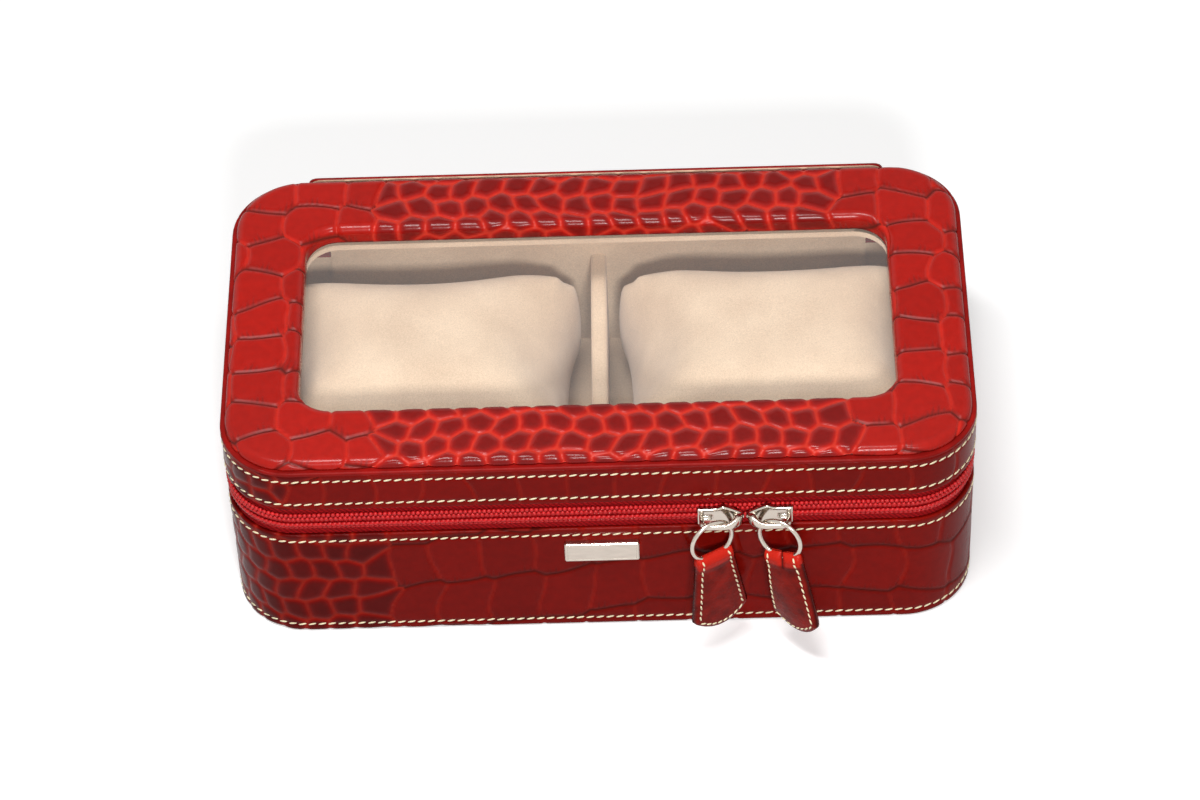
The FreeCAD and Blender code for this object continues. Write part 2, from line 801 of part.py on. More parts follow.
def check_document():
    """Stops the build if an object failed, or if a piece isn't one valid solid."""
    for item in doc.Objects:
        if any(word in item.State for word in ("Invalid", "Error")):
            raise RuntimeError(f"{item.Label} is {item.State}")
    for item in pieces:
        if item.Shape.isNull() or not item.Shape.isValid() or len(item.Shape.Solids) != 1:
            raise RuntimeError(f"{item.Label} isn't one valid solid")


make_base_shell()
make_compartments()
make_cushion("cushion_left", -1)
make_cushion("cushion_right", 1)
make_lid_shell()
make_lid_top()
make_hinge()
make_nameplate()
make_zip()
for name, side in (("left", -1), ("right", 1)):
    make_slider(f"slider_{name}", side)
    make_ring(f"ring_{name}", side)
make_tab("pull_tab_left", -1, size.left_tab_angle)
make_tab("pull_tab_right", 1, size.right_tab_angle)
doc.recompute()

check_document()
os.makedirs("parts", exist_ok=True)
for item in pieces:
    item.Shape.exportStep(f"parts/{item.Label}.step")
print(len(pieces), "pieces")
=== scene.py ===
"""Leather watch case: embossed leather, sewing, zip, hardware, suede and cushions round the CAD frame."""

import json
import math
from collections import namedtuple

import bmesh
import bpy
import numpy as np
from bpy.props import FloatProperty, FloatVectorProperty, IntProperty, PointerProperty
from mathutils import Matrix, Vector
from mathutils.kdtree import KDTree


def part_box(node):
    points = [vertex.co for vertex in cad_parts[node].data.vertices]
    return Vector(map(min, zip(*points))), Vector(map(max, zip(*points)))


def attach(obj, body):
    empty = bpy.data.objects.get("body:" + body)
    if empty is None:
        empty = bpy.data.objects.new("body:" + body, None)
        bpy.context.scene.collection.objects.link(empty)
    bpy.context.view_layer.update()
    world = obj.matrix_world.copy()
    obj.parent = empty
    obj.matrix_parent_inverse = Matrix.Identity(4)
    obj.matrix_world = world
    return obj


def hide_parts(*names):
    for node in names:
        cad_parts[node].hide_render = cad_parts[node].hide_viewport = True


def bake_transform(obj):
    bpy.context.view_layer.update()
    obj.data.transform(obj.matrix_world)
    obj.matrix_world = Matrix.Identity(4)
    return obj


bl_info = {
    "name": "Watch case looks",
    "version": (1, 0, 0),
    "blender": (4, 5, 0),
    "location": "View3D > Sidebar > Watch case",
    "description": "Builds the leather, zip, hardware and suede of a zipped watch case",
    "category": "Object",
}

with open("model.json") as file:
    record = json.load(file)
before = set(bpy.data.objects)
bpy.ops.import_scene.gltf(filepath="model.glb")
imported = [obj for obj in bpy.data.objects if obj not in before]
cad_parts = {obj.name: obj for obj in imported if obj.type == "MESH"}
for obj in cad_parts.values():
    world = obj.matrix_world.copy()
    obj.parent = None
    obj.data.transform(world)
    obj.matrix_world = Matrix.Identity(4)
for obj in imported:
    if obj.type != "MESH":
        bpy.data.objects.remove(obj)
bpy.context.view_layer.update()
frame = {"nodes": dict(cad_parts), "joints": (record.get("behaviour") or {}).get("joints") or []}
NODES = frame["nodes"]
JOINTS = {joint["name"]: joint for joint in frame["joints"]}

BASE_LOW, BASE_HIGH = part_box("base_side_leather")
LID_LOW, LID_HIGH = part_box("lid_side_leather")
TOP_LOW, TOP_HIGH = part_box("lid_top_leather")
HINGE_LOW, HINGE_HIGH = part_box("hinge_strip")
PLATE_LOW, PLATE_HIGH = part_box("nameplate")
UPPER_COIL_LOW, UPPER_COIL_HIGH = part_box("zip_coil_upper")
LOWER_COIL_LOW, LOWER_COIL_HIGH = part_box("zip_coil_lower")
RIM_LEVEL = LID_HIGH.z

MM = 0.001
MERGE_DISTANCE = 1e-7
TINY = 1e-9
LEAST_NORMAL = 1e-12
QUARTER = math.pi / 2
WHITE = (1.0, 1.0, 1.0)

# Scales: neighbours that bound one, widths over which colour and groove change, and the painted shade along
# the horizontal grooves of large scales, feathered into streaks above their lower edges
NEAR_SCALES = 9
SMALL_REACH = 2.0 * MM
LARGE_REACH = 2.4 * MM
LARGE_RANGE = (0.17, 0.36)
SMALL_GROOVE = 1.9 * MM
LARGE_GROOVE = 1.1 * MM
GROOVE_ROUNDING = 0.30 * MM
STEEP_EDGE = 0.72
FAR_EDGE = 1.0
SHADE_FEATHER_PERIOD = 0.23 * MM
SHADE_FEATHER_SWELL = 1.3 * MM
SHADE_STREAK_LENGTHS = (1.2 * MM, 2.8 * MM)
SHADE_STREAK_DEPTH = 0.85
CREASE_SHADE_HALF = 0.58 * MM
CREASE_SHADE_DEPTH = 0.9
# Tone ranges of the scales: random from scale to scale; the bands' range is set lower, painted shade for
# sides that get less light than the top
SHADED_BAND_TONES = (0.18, 0.36)
LID_TONES = (0.75, 1.0)

# Beads of one batch, because a full mesh slows each operator
BATCH = 48

# Slider seen from the front: share of its length from the nose, and of its half height
SLIDER_OUTLINE = ((0.0, 0.06), (0.03, 0.26), (0.10, 0.44), (0.25, 0.72), (0.40, 0.97), (0.46, 1.03),
                  (0.50, 0.95), (0.56, 0.82), (0.66, 0.78), (1.0, 0.78))
SLIDER_STATIONS = (0.0, 0.01, 0.03, 0.06, 0.10, 0.15, 0.20, 0.25, 0.30, 0.35, 0.40, 0.43, 0.46, 0.48, 0.50,
                   0.53, 0.56, 0.60, 0.64, 0.66, 0.68, 0.70, 0.74, 0.78, 0.82, 0.86, 0.90, 0.94, 0.97, 0.98,
                   0.99, 0.995, 1.0)

# Pull, as shares of its height: its thin bottom edge, where it thickens to the fold, where the fold
# rounds over, and where the painted highlight on the fold begins
PINCH_LENGTH = 0.05
FOLD_START = 0.80
FOLD_LENGTH = 0.12
ROUND_START = 0.92
ROUND_LENGTH = 0.08
FOLD_HIGHLIGHT_START = 0.84
FOLD_HIGHLIGHT_LENGTH = 0.03

# Rows of the zip's turns: height off the coil's middle, inset, half sizes, slant, and a shift by half a pitch
TurnRow = namedtuple("TurnRow", "lift inset half_sizes slant shifted")
UPPER_TURNS = (
    TurnRow(0.72 * MM, 0.55 * MM, (0.62 * MM, 0.58 * MM, 0.66 * MM), 0.35, False),
    TurnRow(-0.62 * MM, 0.55 * MM, (0.62 * MM, 0.58 * MM, 0.66 * MM), -0.35, True),
)
LOWER_TURNS = (
    TurnRow(0.50 * MM, 0.62 * MM, (0.95 * MM, 0.52 * MM, 0.62 * MM), 0.6, False),
    TurnRow(-0.95 * MM, 0.95 * MM, (0.70 * MM, 0.30 * MM, 0.30 * MM), 0.3, False),
    TurnRow(1.72 * MM, 1.15 * MM, (0.75 * MM, 0.35 * MM, 0.78 * MM), 0.0, True),
)

# Lamps: name, place, size and watts
LAMPS = (
    ("overhead", (-0.10, -0.20, 0.92), (0.40, 0.14), 6.0),
    ("front", (0.10, -0.99, 0.76), (0.22, 0.14), 8.8),
)
LAMP_AIM = (0.0, 0.0, 0.03)


# Settings

def length_setting(name, description, default):
    """A size in metres."""
    return FloatProperty(name=name, description=description, default=default, unit="LENGTH", precision=5)


def angle_setting(name, description, degrees):
    """An angle, given in degrees and kept in radians."""
    return FloatProperty(name=name, description=description, default=math.radians(degrees), unit="ROTATION")


def colour_setting(name, description, default):
    """A colour in linear light."""
    return FloatVectorProperty(
        name=name, description=description, default=default, subtype="COLOR", size=3, min=0.0, max=1.0)


class FormSettings(bpy.types.PropertyGroup):
    """Sizes of the case that its boxes alone don't give."""

    corner_radius: length_setting("Corner", "Radius of the case's corners, seen from above", 0.0192)
    foot_rounding: length_setting("Foot", "Rounding at the foot of the base", 0.0008)
    lip_rounding: length_setting("Lip", "Rounding of the leather's folded edges", 0.0005)
    band_thickness: length_setting("Band", "Thickness of the side leather", 0.0011)
    top_thickness: length_setting("Top", "Thickness of the top leather", 0.0009)
    top_rounding: length_setting("Pad edge", "Rounding of the padded top", 0.0024)
    pad_swell: length_setting("Pad swell", "How far the padded top swells out over the welt", 0.0013)
    window_length: length_setting("Window length", "Length of the window", 0.1586)
    window_depth: length_setting("Window depth", "Depth of the window", 0.0656)
    window_radius: length_setting("Window corner", "Radius of the window's corners", 0.0086)
    zip_end: length_setting("Zip end", "Distance of the zip's ends from the middle of the rear", 0.0808)


class LeatherSettings(bpy.types.PropertyGroup):
    """Relief and colours of the embossed leather."""

    scale_colour: colour_setting("Scales", "Colour of the scales", (0.50, 0.0105, 0.0045))
    centre_colour: colour_setting("Scale centres", "Colour of the dark glaze on a scale",
                                  (0.22, 0.0040, 0.0030))
    groove_colour: colour_setting("Grooves", "Colour in the grooves between scales", (0.62, 0.032, 0.016))
    # Painted shade: colour of the dark line along the horizontal grooves of large scales and of the feathered
    # streaks above their lower edges
    crease_colour: colour_setting("Creases", "Colour of the feathered lower edge of a large scale",
                                  (0.050, 0.0030, 0.0020))
    plain_colour: colour_setting("Plain leather", "Colour of the edges", (0.25, 0.006, 0.0045))
    pull_colour: colour_setting("Pulls", "Colour of the pulls", (0.17, 0.0060, 0.0030))
    top_relief: length_setting("Top relief", "Depth of the grooves on the lid", 0.00060)
    band_relief: length_setting("Band relief", "Depth of the grooves on the sides", 0.00030)
    spacing: length_setting("Mesh", "Spacing of the leather's mesh", 0.00042)
    small_scale: length_setting("Small scale", "Width of a small scale", 0.0064)
    large_scale: length_setting("Large scale", "Width of a large scale", 0.0150)
    seed: IntProperty(name="Seed", description="Number that the scales' irregularity starts from", default=7)


class ThreadSettings(bpy.types.PropertyGroup):
    """Sewing thread and its stitches."""

    colour: colour_setting("Thread", "Colour of the thread", (0.86, 0.76, 0.50))
    pitch: length_setting("Pitch", "Distance from stitch to stitch", 0.0027)
    length: length_setting("Length", "Length of a stitch that shows", 0.0023)
    thickness: length_setting("Thickness", "Thickness of the thread", 0.00054)
    slant: angle_setting("Slant", "Slant of the stitches", 14)
    sink: length_setting("Sink", "How far the rows round the case lie in the leather", 0.00012)
    lid_upper: length_setting("Lid, upper row", "Height of the row below the rim", 0.0611)
    lid_lower: length_setting("Lid, lower row", "Height of the row above the zip", 0.0522)
    base_upper: length_setting("Base, upper row", "Height of the row below the zip", 0.0371)
    base_lower: length_setting("Base, lower row", "Height of the row at the foot", 0.0027)


class ZipSettings(bpy.types.PropertyGroup):
    """Zip tape, coils and end stops."""

    tape_colour: colour_setting("Tape", "Colour of the woven tape", (0.46, 0.009, 0.012))
    coil_colour: colour_setting("Coil", "Colour of the coils", (0.56, 0.012, 0.014))
    pitch: length_setting("Pitch", "Pitch of the coil", 0.00125)
    stop_gap: length_setting("Stop gap", "Gap between an end stop and the middle of the zip", 0.00006)
    stop_tuck: length_setting("Stop tuck", "How far an end stop reaches behind the hinge", 0.0004)
    stop_length: length_setting("Stop length", "Length of an end stop along the zip", 0.0018)
    stop_depth: length_setting("Stop depth", "Depth of an end stop, inward from its rear", 0.0018)
    stop_setback: length_setting("Stop setback", "How far an end stop lies inside the hinge's inner face",
                                 0.00006)
    stop_reach: length_setting("Stop reach", "Height of an end stop from the middle of the zip", 0.0051)
    stop_rounding: length_setting("Stop rounding", "Rounding of an end stop's edges", 0.00015)


class MetalSettings(bpy.types.PropertyGroup):
    """Nickel of the sliders, rings and plate."""

    colour: colour_setting("Nickel", "Colour of the metal", (0.63, 0.57, 0.50))
    roughness: FloatProperty(name="Roughness", description="Roughness of the polish", default=0.14, min=0,
                             max=1)
    stand_off: length_setting("Stand-off", "Gap between the case's front and a slider's front plate", 0.0002)
    front_plate: length_setting("Front plate", "Thickness of a slider's front plate", 0.0014)
    back_plate: length_setting("Back plate", "Thickness of a slider's back plate", 0.0009)
    plate_rounding: length_setting("Rounding", "Rounding of a slider's edges", 0.00045)
    slot_start: length_setting("Slot", "Where the slot at the tail begins, from the nose", 0.0084)
    slot_half: length_setting("Slot half height", "Half the height of the slot at the tail", 0.0008)
    slot_depth: length_setting("Slot depth", "Depth of the slot at the tail", 0.0010)
    post_start: length_setting("Post", "Where the post begins, from the nose", 0.0016)
    post_length: length_setting("Post length", "Length of the post", 0.0040)
    post_half: length_setting("Post half height", "Half the height of the post", 0.00025)
    post_rounding: length_setting("Post rounding", "Rounding of the post's edges", 0.0001)
    back_inset: length_setting("Back inset", "How much narrower the back plate is, at each side", 0.0005)
    crown_setback: length_setting("Crown", "Distance of the crown's ends from the slider's", 0.00105)
    bar_thickness: length_setting("Bar", "Thickness of the crown's bar", 0.0013)
    bar_height: length_setting("Bar height", "Height of the crown's bar", 0.0018)
    nose_height: length_setting("Nose height", "Height of the crown at the nose", 0.0036)
    tail_bend: length_setting("Tail bend", "Radius of the crown's bend at the tail", 0.0014)
    nose_bend: length_setting("Nose bend", "Reach of the crown's bow at the nose", 0.0042)
    ring_radius: length_setting("Ring", "Radius of a ring to the middle of its wire", 0.0060)
    ring_wire: length_setting("Wire", "Thickness of a ring's wire", 0.00126)
    ring_drop: length_setting("Drop", "How far a ring hangs below the middle of its joint", 0.00042)
    left_slip: length_setting("Left slip", "How far the left ring has slipped along its bar", 0.0011)
    right_slip: length_setting("Right slip", "How far the right ring has slipped along its bar", 0.0011)


class PullSettings(bpy.types.PropertyGroup):
    """Leather pulls, measured from the centre of their ring."""

    thickness: length_setting("Thickness", "Thickness of the two sewn layers", 0.0021)
    loop_thickness: length_setting("Loop", "Thickness of the fold round the ring", 0.0033)
    neck_width: length_setting("Neck", "Width at the ring", 0.0108)
    width: length_setting("Width", "Width at the widest", 0.0168)
    corner_depth: length_setting("Depth", "Distance of the bottom corners below the ring's centre", 0.0264)
    bottom_sag: length_setting("Sag", "How far the bottom edge swells down", 0.0046)
    bulge: length_setting("Bulge", "How far the twisted pull bulges, and the flat one half as far", 0.0009)
    stitch_inset: length_setting("Sewing", "Distance of the stitches from the edge", 0.0016)
    stitch_pitch: length_setting("Stitch pitch", "Distance from stitch to stitch", 0.002214)
    fold_stitches: FloatVectorProperty(
        name="Fold stitches", description="Heights of the stitches over the fold, as shares of the pull's",
        default=(0.885, 0.955), size=2)
    left_hang: angle_setting("Left hang", "Swing of the left pull to the right", 1)
    right_hang: angle_setting("Right hang", "Swing of the right pull to the right", 14)
    right_twist: angle_setting("Right twist", "Twist of the right pull at its bottom", 17)


class InsideSettings(bpy.types.PropertyGroup):
    """Suede lining and cushions."""

    suede_colour: colour_setting("Suede", "Colour of the suede", (0.84, 0.645, 0.46))
    nap_colour: colour_setting("Nap", "Colour where the nap lies down", (0.73, 0.54, 0.375))
    start_share: FloatVectorProperty(
        name="Start", description="Size before stuffing, as a share of the CAD's", default=(0.99, 0.99, 1.0),
        size=3)
    voxel: length_setting("Voxel", "Mesh size of a cushion before it is stuffed", 0.0034)
    pressure: FloatProperty(name="Pressure", description="Pressure of the stuffing", default=4.0, min=0)
    swell: length_setting("Swell", "How far the stuffing may push the cloth out", 0.0050)
    crown: FloatVectorProperty(name="Crowns", description="How far the left and right cushion swell up",
                               default=(0.0046, 0.0066), size=2, unit="LENGTH", precision=5)
    ear: FloatVectorProperty(name="Ears", description="How far each cushion's inner corner stands up",
                             default=(0.0024, 0.0004), size=2, unit="LENGTH", precision=5)
    side_pull: FloatProperty(name="Side pull", description="Share by which the sides pull in", default=0.10)
    wave: length_setting("Waves", "Height of the soft waves on top", 0.00035)
    margin: length_setting("Margin", "How far a cushion stays off the low sides of its CAD box", 0.0001)
    reserve: FloatVectorProperty(name="Reserve", description="How far it may pass the high sides of that box",
                                 default=(-0.0001, 0.0010, 0.0040), size=3, unit="LENGTH", precision=5)
    steps: IntProperty(name="Steps", description="Steps of the stuffing", default=20, min=1)
    cloth_passes: IntProperty(name="Cloth passes", description="Smoothing after the stuffing", default=4,
                              min=0)
    shape_passes: IntProperty(name="Shape passes", description="Smoothing after the shaping", default=8,
                              min=0)


class StageSettings(bpy.types.PropertyGroup):
    """Camera, light and floor."""

    azimuth: angle_setting("Azimuth", "Direction of the camera round the case", 1.464)
    elevation: angle_setting("Elevation", "Height of the camera above the horizon", 47.795)
    roll: angle_setting("Roll", "Turn of the camera about its own axis", -2.599)
    distance: length_setting("Distance", "Distance of the camera from its target", 1.202897)
    target: FloatVectorProperty(name="Target", description="Point in the middle of the picture",
                                default=(-0.000202, 0.002505, 0.028005), subtype="TRANSLATION", size=3)
    lens: FloatProperty(name="Lens", description="Focal length", default=130.81, unit="CAMERA")
    floor_colour: colour_setting("Floor", "Colour of the floor", (0.88, 0.88, 0.88))
    floor_drop: length_setting("Floor drop", "How far the floor lies below the case", 0.0002)
    sky: FloatProperty(name="Surroundings", description="Light from the surroundings", default=0.22, min=0)


class WatchCaseSettings(bpy.types.PropertyGroup):
    """All settings of the watch case."""

    form: PointerProperty(type=FormSettings)
    leather: PointerProperty(type=LeatherSettings)
    thread: PointerProperty(type=ThreadSettings)
    zip: PointerProperty(type=ZipSettings)
    metal: PointerProperty(type=MetalSettings)
    pull: PointerProperty(type=PullSettings)
    inside: PointerProperty(type=InsideSettings)
    stage: PointerProperty(type=StageSettings)


def settings():
    """The scene's settings."""
    return bpy.context.scene.watch_case


# Materials

class Shader:
    """A material with one principled shader, and short ways to add nodes to it."""

    def __init__(self, name):
        self.material = bpy.data.materials.new(name)
        self.material.use_nodes = True
        self.tree = self.material.node_tree
        self.principled = self.tree.nodes["Principled BSDF"]
        source = self.add("ShaderNodeTexCoord")
        self.coordinates = source.outputs["Object"]
        self.normals = source.outputs["Normal"]

    def add(self, kind, **values):
        """Adds a node and sets its properties."""
        node = self.tree.nodes.new(kind)
        for name, value in values.items():
            setattr(node, name, value)
        return node

    def link(self, output, node, name):
        """Links an output to a node's input."""
        self.tree.links.new(output, node.inputs[name])

    def set(self, **values):
        """Sets the shader's own sockets, which are named in small letters."""
        sockets = {socket.name.lower(): socket for socket in self.principled.inputs}
        for name, value in values.items():
            sockets[name.replace("_", " ")].default_value = value

    def noise(self, scale, detail=3.0, stretch=None):
        """Noise over the piece, stretched where a direction needs it."""
        node = self.add("ShaderNodeTexNoise")
        node.inputs["Scale"].default_value = scale
        node.inputs["Detail"].default_value = detail
        source = self.coordinates
        if stretch is not None:
            mapping = self.add("ShaderNodeMapping")
            mapping.inputs["Scale"].default_value = stretch
            self.link(source, mapping, "Vector")
            source = mapping.outputs["Vector"]
        self.link(source, node, "Vector")
        return node.outputs["Fac"]

    def attribute(self, name):
        """A value that is stored on the piece's points."""
        return self.add("ShaderNodeAttribute", attribute_name=name).outputs["Fac"]

    def remap(self, value, low, high, new_low, new_high):
        """Maps a range of values to another."""
        node = self.add("ShaderNodeMapRange")
        numbers = {"From Min": low, "From Max": high, "To Min": new_low, "To Max": new_high}
        for name, number in numbers.items():
            node.inputs[name].default_value = number
        self.link(value, node, "Value")
        return node.outputs["Result"]

    def ramp(self, value, stops):
        """Turns a value into a colour."""
        node = self.add("ShaderNodeValToRGB")
        elements = node.color_ramp.elements
        while len(elements) < len(stops):
            elements.new(0.5)
        for element, (position, colour) in zip(elements, stops):
            element.position = position
            element.color = (*colour, 1.0)
        self.link(value, node, "Fac")
        return node.outputs["Color"]

    def mix(self, factor, first, second, blend="MIX"):
        """Mixes two colours; each is an output or a plain colour."""
        node = self.add("ShaderNodeMix", data_type="RGBA", blend_type=blend)
        factor_socket, first_socket, second_socket = (node.inputs[index] for index in (0, 6, 7))
        for socket, value in ((factor_socket, factor), (first_socket, first), (second_socket, second)):
            if isinstance(value, bpy.types.NodeSocket):
                self.tree.links.new(value, socket)
            elif isinstance(value, float):
                socket.default_value = value
            else:
                socket.default_value = (*value, 1.0)
        return node.outputs[2]

    def faced(self, outside):
        """A colour that gives way to the lining's on faces that look into the case."""
        facing = self.add("ShaderNodeVectorMath", operation="DOT_PRODUCT")
        self.link(self.coordinates, facing, 0)
        self.link(self.normals, facing, 1)
        inside = self.remap(facing.outputs["Value"], 0.0, -0.005, 0.0, 1.0)
        return self.mix(inside, outside, settings().inside.nap_colour)

    def colour(self, output):
        """Gives the shader its colour."""
        self.link(output, self.principled, "Base Color")

    def rough(self, output):
        """Gives the shader its roughness."""
        self.link(output, self.principled, "Roughness")

    def bump(self, height, distance, strength):
        """Gives the shader a fine bump."""
        node = self.add("ShaderNodeBump")
        node.inputs["Strength"].default_value = strength
        node.inputs["Distance"].default_value = distance
        self.link(height, node, "Height")
        self.link(node.outputs["Normal"], self.principled, "Normal")


def shade(colour, factor):
    """A colour made darker or lighter."""
    return tuple(min(1.0, part * factor) for part in colour)


def cached(build):
    """Builds a material once, under the name of its function; the frame's own materials have other names."""
    def find():
        name = f"{build.__name__}_look"
        return bpy.data.materials.get(name) or build(name)
    return find


def scaled_leather(name, specular):
    """Two-tone glazed leather: dark glossy scales, bright grooves, and painted shade along the horizontal
    grooves of large scales, feathered into streaks.
    """
    look = settings().leather
    shader = Shader(name)
    edge = shader.attribute("edge")
    stops = ((0.0, look.groove_colour), (0.07, look.groove_colour), (0.22, look.scale_colour),
             (0.60, shade(look.centre_colour, 1.3)), (1.0, look.centre_colour))
    scales = shader.ramp(edge, stops)
    # Each scale's random tone, set lower on the side bands as painted shade
    tone_and_shade = shader.ramp(shader.attribute("tone_and_shade"), ((0.0, (0.30, 0.30, 0.30)), (1.0, WHITE)))
    toned_and_shaded = shader.mix(1.0, scales, tone_and_shade, "MULTIPLY")
    clouds = shader.noise(scale=420.0, detail=4.0)
    mottle = shader.ramp(clouds, ((0.30, (0.80, 0.78, 0.78)), (0.70, WHITE)))
    mottled = shader.mix(0.8, toned_and_shaded, mottle, "MULTIPLY")
    # Painted shade darkens the horizontal grooves of large scales, feathered into streaks
    shader.colour(shader.mix(shader.attribute("crease_shade"), mottled, look.crease_colour))
    gloss = shader.add("ShaderNodeMath", operation="SUBTRACT")
    shader.link(edge, gloss, 0)
    shader.link(shader.attribute("crease_shade"), gloss, 1)
    shader.rough(shader.remap(gloss.outputs["Value"], low=0.0, high=0.4, new_low=0.40, new_high=0.22))
    shader.bump(shader.noise(scale=2600.0, detail=2.0), distance=0.05 * MM, strength=0.35)
    shader.set(specular_ior_level=specular)
    return shader.material


@cached
def croc_leather(name):
    """Glossy leather of the lid's top."""
    return scaled_leather(name, 0.20)


@cached
def band_leather(name):
    """Duller leather of the side bands."""
    return scaled_leather(name, 0.05)


def smooth_dye(shader):
    """Colour of smooth leather, with clouds of dye; the shader gets the leather's uneven gloss."""
    colour = settings().leather.plain_colour
    wear = shader.noise(scale=900.0, detail=3.0)
    shader.rough(shader.remap(wear, low=0.3, high=0.7, new_low=0.30, new_high=0.44))
    clouds = shader.noise(scale=160.0, detail=5.0)
    return shader.ramp(clouds, ((0.30, shade(colour, 0.72)), (0.72, shade(colour, 1.2))))


@cached
def plain_leather(name):
    """Smooth glazed leather of the edges."""
    shader = Shader(name)
    shader.colour(smooth_dye(shader))
    shader.bump(shader.noise(scale=3200.0, detail=3.0), distance=0.05 * MM, strength=0.4)
    shader.set(specular_ior_level=0.08)
    return shader.material


@cached
def hinge_leather(name):
    """Smooth leather of the hinge, faced with the lining inside."""
    shader = Shader(name)
    shader.colour(shader.faced(smooth_dye(shader)))
    shader.bump(shader.noise(scale=420.0, detail=4.0), distance=0.15 * MM, strength=0.35)
    shader.set(specular_ior_level=0.10)
    return shader.material


@cached
def pull_leather(name):
    """Darker leather of the pulls, with clouds of dye, fine creases, dark painted edges and a painted
    highlight on the fold.
    """
    look = settings().leather
    shader = Shader(name)
    dye = shader.ramp(shader.noise(scale=230.0, detail=5.0), (
        (0.30, shade(look.pull_colour, 0.55)), (0.72, shade(look.pull_colour, 1.5))))
    # Painted highlight: a lighter copy of the pull's colour on the fold
    fold_highlight = shader.mix(shader.attribute("fold_highlight"), dye, shade(look.pull_colour, 2.8))
    shader.colour(shader.mix(shader.attribute("rim"), fold_highlight, shade(look.pull_colour, 0.22)))
    wear = shader.noise(scale=700.0, detail=3.0)
    shader.rough(shader.remap(wear, low=0.3, high=0.7, new_low=0.18, new_high=0.34))
    creases = shader.noise(scale=420.0, detail=4.0, stretch=(1.0, 1.0, 3.0))
    shader.bump(creases, distance=0.25 * MM, strength=0.4)
    shader.set(specular_ior_level=0.08)
    return shader.material


@cached
def leather_edge(name):
    """Dyed, unglazed leather: the underside and cut edges."""
    look = settings().leather
    shader = Shader(name)
    shader.colour(shader.ramp(shader.noise(scale=700.0, detail=5.0), (
        (0.30, shade(look.plain_colour, 0.45)), (0.75, shade(look.plain_colour, 0.85)))))
    shader.bump(shader.noise(scale=1800.0, detail=4.0), distance=0.12 * MM, strength=0.6)
    shader.set(roughness=0.72)
    return shader.material


@cached
def sewing_thread(name):
    """Waxed cream thread with its twist."""
    look = settings().thread
    shader = Shader(name)
    shader.colour(shader.ramp(shader.noise(scale=1500.0, detail=3.0), (
        (0.30, shade(look.colour, 0.70)), (0.70, shade(look.colour, 1.08)))))
    twist = shader.add("ShaderNodeTexWave", bands_direction="DIAGONAL")
    twist.inputs["Scale"].default_value = 900.0
    shader.link(shader.coordinates, twist, "Vector")
    shader.bump(twist.outputs["Fac"], distance=0.06 * MM, strength=0.6)
    shader.set(roughness=0.55, sheen_weight=0.2)
    return shader.material


@cached
def zip_tape(name):
    """Woven tape: slanted ribs crossed by fine threads."""
    look = settings().zip
    shader = Shader(name)
    ribs = shader.add("ShaderNodeTexWave", bands_direction="DIAGONAL")
    ribs.inputs["Scale"].default_value = 420.0
    ribs.inputs["Distortion"].default_value = 0.8
    shader.link(shader.coordinates, ribs, "Vector")
    threads = shader.add("ShaderNodeTexWave", bands_direction="Z")
    threads.inputs["Scale"].default_value = 520.0
    shader.link(shader.coordinates, threads, "Vector")
    weave = shader.add("ShaderNodeMath", operation="MULTIPLY")
    shader.link(ribs.outputs["Fac"], weave, 0)
    shader.link(threads.outputs["Fac"], weave, 1)
    outside = shader.ramp(weave.outputs["Value"], (
        (0.0, shade(look.tape_colour, 0.50)), (0.8, shade(look.tape_colour, 1.25))))
    shader.colour(shader.faced(outside))
    shader.bump(weave.outputs["Value"], distance=0.14 * MM, strength=0.9)
    shader.set(roughness=0.85, specular_ior_level=0.1)
    return shader.material


@cached
def zip_coil(name):
    """Dyed monofilament of the coils."""
    look = settings().zip
    shader = Shader(name)
    shader.colour(shader.ramp(shader.noise(scale=500.0, detail=3.0), (
        (0.30, shade(look.coil_colour, 0.80)), (0.72, shade(look.coil_colour, 1.15)))))
    wear = shader.noise(scale=1200.0, detail=2.0)
    shader.rough(shader.remap(wear, low=0.3, high=0.7, new_low=0.28, new_high=0.42))
    shader.set(specular_ior_level=0.3)
    return shader.material


@cached
def nickel(name):
    """Polished nickel with fine rubbing marks."""
    look = settings().metal
    shader = Shader(name)
    rubbing = shader.noise(scale=900.0, detail=4.0, stretch=(0.25, 1.0, 1.0))
    shader.colour(shader.ramp(rubbing, ((0.25, shade(look.colour, 0.86)), (0.75, look.colour))))
    shader.rough(shader.remap(rubbing, 0.25, 0.75, look.roughness * 0.6, look.roughness * 1.5))
    shader.bump(rubbing, distance=0.01 * MM, strength=0.15)
    shader.set(metallic=1.0)
    return shader.material


@cached
def suede(name):
    """Brushed suede: soft nap with lighter and darker strokes."""
    look = settings().inside
    shader = Shader(name)
    brushing = shader.noise(scale=70.0, detail=6.0)
    strokes = shader.ramp(brushing, ((0.32, look.nap_colour), (0.66, look.suede_colour)))
    hairs = shader.noise(scale=2600.0, detail=3.0)
    fibre = shader.ramp(hairs, ((0.30, (0.82, 0.81, 0.80)), (0.70, WHITE)))
    shader.colour(shader.mix(1.0, strokes, fibre, "MULTIPLY"))
    shader.bump(shader.noise(scale=1900.0, detail=4.0), distance=0.16 * MM, strength=0.5)
    shader.set(roughness=0.95, specular_ior_level=0.15, sheen_weight=0.35, sheen_roughness=0.6)
    return shader.material


@cached
def clear_window(name):
    """Clear sheet that only shows by its reflections."""
    shader = Shader(name)
    shader.colour(shader.ramp(shader.noise(scale=30.0, detail=2.0), (
        (0.3, (0.93, 0.94, 0.94)), (0.7, (0.98, 0.98, 0.98)))))
    shader.set(alpha=0.05, roughness=0.04, specular_ior_level=0.5)
    return shader.material


